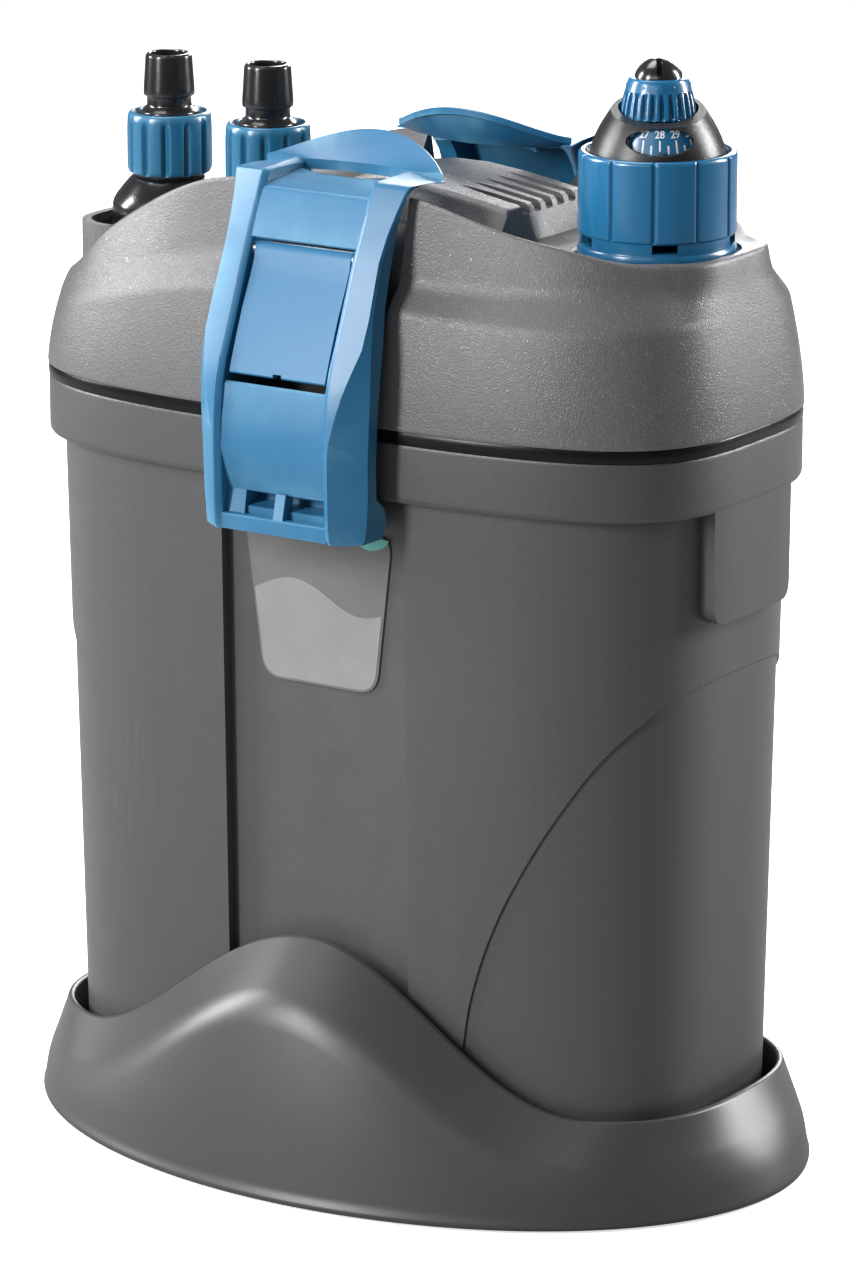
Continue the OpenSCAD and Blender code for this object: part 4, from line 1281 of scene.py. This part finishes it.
# %% Wall of the container
FLANGE_Z = RIM_Z - 20
WALL_LOW = 20.0
wall_a, wall_b = HALF_LEN - 5, HALF_WID - 3.5


def wall_body(name, thinner):
    return skin(name, [
        oval_ring(wall_a - 4.2 - thinner, wall_b - 4.2 - thinner, WALL_LOW + thinner * 0.1),
        oval_ring(wall_a - thinner, wall_b - thinner, RIM_Z - 1 - thinner * 0.1)])


# %% Curved step
STEP_CURVE = [(57.5, 50), (58.5, 58), (60.6, 70), (65.2, 86), (71.5, 102), (79, 117), (87.5, 132),
              (97, 147),
              (106, 160), (115, 170.5), (123, 179), (132, 186), (142, 191)]
curve_points = []
for k in range(len(STEP_CURVE) - 1):
    for s in range(4):
        z = STEP_CURVE[k][1] + (STEP_CURVE[k + 1][1] - STEP_CURVE[k][1]) * s / 4
        curve_points.append((along(z, [(b, a) for a, b in STEP_CURVE]), z))
curve_points.append(STEP_CURVE[-1])
inside = ([(-x, z) for x, z in reversed(curve_points)] + [(-55, 10), (55, 10)] + curve_points
          + [(142, RIM_Z + 5), (-142, RIM_Z + 5)])
container = wall_body("container_body", 0)
carve(container, slab("inside_step", inside, -90, 90, "y"), "INTERSECT")
carve(container, wall_body("slim_body", 0.9), "UNION")
# %% End lugs and flange
for side in (-1, 1):
    lug_outline = rounded([(-24.5, FLANGE_Z - 38.5), (24.5, FLANGE_Z - 38.5),
                           (25.3, RIM_Z - 3), (-25.3, RIM_Z - 3)], 6, 6)
    lug = slab("end_lug", lug_outline, *sorted((side * 90, side * 140)))
    limit = skin("lug_limit", [rim_ring(-0.6, FLANGE_Z - 50), rim_ring(-0.4, RIM_Z - 2)])
    carve(lug, limit, "INTERSECT")
    carve(container, lug, "UNION")
flange = skin("flange", [
    rim_ring(-1.6, FLANGE_Z), rim_ring(-0.7, FLANGE_Z + 0.3), rim_ring(-0.15, FLANGE_Z + 1.2),
    rim_ring(0, FLANGE_Z + 2.4), rim_ring(0, RIM_Z - 1), rim_ring(-0.5, RIM_Z)])
carve(container, flange, "UNION")
# %% Recesses and the inside
for side in (-1, 1):
    carve(container, slab("recess", [
        (side * 62, FLANGE_Z), (side * 58.4, 0), (side * 90, 0), (side * 90, FLANGE_Z)],
        -RECESS_HALF, RECESS_HALF))
    carve(container, slab("flange_gap", [
        (side * 62, FLANGE_Z - 1), (side * 62, RIM_Z + 6),
        (side * 90, RIM_Z + 6), (side * 90, FLANGE_Z - 1)], -GAP_HALF, GAP_HALF))
carve(container, skin("inside", [
    oval_ring(wall_a - 8.2, 55, WALL_LOW + 3), oval_ring(wall_a - 8.2, 55, RIM_Z + 5)]))
soften(container, 0.7, 40, 3)
wear_finish(container, container_grey, "housing", ["container"], 35)

# %% Seal band between the rim and the head
seal_rings = [rim_ring(out, z) for out, z in (
    (-8, RIM_Z), (-0.3, RIM_Z), (0.1, RIM_Z + 0.5), (0.2, RIM_Z + 2.2), (0.1, SEAL_Z - 0.5),
    (-0.3, SEAL_Z), (-8, SEAL_Z))]
seal_band = skin("seal_band", seal_rings + [seal_rings[0]], caps=False)
for side in (-1, 1):
    carve(seal_band, slab("seal_gap", [
        (side * 61, RIM_Z - 2), (side * 61, SEAL_Z + 2),
        (side * 90, SEAL_Z + 2), (side * 90, RIM_Z - 2)], -GAP_HALF, GAP_HALF))
wear_finish(seal_band, seal_black, "housing", ["rim_seal"], 50)

# %% Small steel pin under the rim, at the heater end
keeper = turned("keeper_pin", 0, 0, [(0, 0), (1.1, 0), (1.4, 0.3), (1.4, 1.6), (1.0, 2.1),
(0, 2.1)], 24)
keeper.data.transform(
    Matrix.Translation(Vector((126.6, 24, FLANGE_Z - 6)) * MM) @ Matrix.Rotation(math.pi / 2, 4, "Y"))
wear_finish(keeper, steel, "housing")

# %% [markdown]
# The foot is a flared skirt whose top edge rises in a wave in front of the recess. Rings of
# different ovals make it, and every column is rounded at its corners before the skin is made.

# %% Foot
def foot_wave(x):
    return 0.5 + 0.5 * math.cos(math.pi * clamp01(abs(x) / (0.72 * FOOT_LEN)))


def foot_ring(a, b, n, height, wave=0):
    return [Vector((x, y, height + wave * foot_wave(x))) for x, y in oval(a, b, n, 240)]


foot_keys = [
    foot_ring(FOOT_LEN - 4.5, FOOT_WID - 4.5, 2.0, 1.3),
    foot_ring(FOOT_LEN - 0.5, FOOT_WID - 0.5, 2.0, 0.9),
    foot_ring(FOOT_LEN, FOOT_WID, 2.0, 2.4), foot_ring(FOOT_LEN - 0.7, FOOT_WID - 1.2, 2.0, 5.2),
    foot_ring(FOOT_LEN - 3.0, FOOT_WID - 6.0, 2.12, 12.48, 24.44),
    foot_ring(FOOT_LEN - 6, FOOT_WID - 12.2, 2.25, 19, 47),
    foot_ring(HALF_LEN - 2, HALF_WID - 1, 3.1, 35, 50),
    foot_ring(HALF_LEN - 4.4, HALF_WID - 3.4, 3.2, 34.6, 50),
    foot_ring(HALF_LEN - 5.2, HALF_WID - 4.4, 3.2, 24, 50),
    foot_ring(HALF_LEN - 6, HALF_WID - 6, 3.2, 6),
]
foot_radii = [0.4, 1.0, 1.2, 20, 7.5, 1.8, 1.2, 2]
columns = [chain_fillet(list(column), foot_radii, 5) for column in zip(*foot_keys)]
foot = skin("foot_skirt", [[tuple(column[k]) for column in columns] for k in range(len(columns[0]))])
wear_finish(foot, foot_grey, "housing", ["foot"], 40)

# %% [markdown]
# A plain shield marks the front of the container. Its two tones meet in a wave, with a small
# leaf of sea green above. The plate is one piece and the paler field is a thin inlay on it.


# %% Shield
def recess_y(z):
    return -(62 - 3.6 * (FLANGE_Z - z) / FLANGE_Z)


def plate(name, outline, proud, sunk=0.3):
    return skin(name, [[(x, recess_y(z) + off, z) for x, z in outline] for off in (sunk, -proud)])


def shield_half(z):
    return 23 + (z - 172) * (30 - 23) / 56


shield_outline = rounded([(-30, 228), (30, 228), (23, 172), (-23, 172)], 7.5, 6)
shield = plate("shield_plate", shield_outline, 0.9)
soften(shield, 0.25, 40, 2)
shield_dark = plastic("shield_dark", (0.11, 0.105, 0.105),
(0.3, 0.3, 0.3), 0.36, 3000, 0.00003, wear=0.3)
shield_pale = plastic("shield_pale", (0.2, 0.19, 0.188), (0.4, 0.4, 0.4), 0.4, 3000, 0.00003, wear=0.2)
sea_green = plastic("sea_green", (0.06, 0.42, 0.36), (0.3, 0.6, 0.55), 0.35, 3000, 0.00002)
wear_finish(shield, shield_dark, "housing", ["badge"], 40)
# %% Pale field and leaf
wave_top = []
for i in range(33):
    share = i / 32
    z = 202.0 + 3.2 * share - 4.2 * math.sin(2 * math.pi * share + 0.5)
    wave_top.append(((shield_half(z) - 0.9) * (1 - 2 * share), z))
# Only the two lower corners of the rounded outline are kept: the wave closes the top.
field_low = rounded([(-27.6, 215), (-22.2, 172.9), (22.2, 172.9), (27.6, 215)], 6.5, 6)[7:21]
field = plate("shield_field", wave_top + field_low, 1.05, -0.85)
wear_finish(field, shield_pale, "housing")
leaf_outline = []
for k in range(21):
    t = k / 20
    leaf_outline.append((22 + 6.6 * math.cos(math.pi * (1 + t)),
                         226.6 - 4.6 * math.sin(math.pi * t) * (1.2 - 0.5 * t)))
leaf = plate("shield_leaf", leaf_outline, 1.05, -0.85)
wear_finish(leaf, sea_green, "housing")
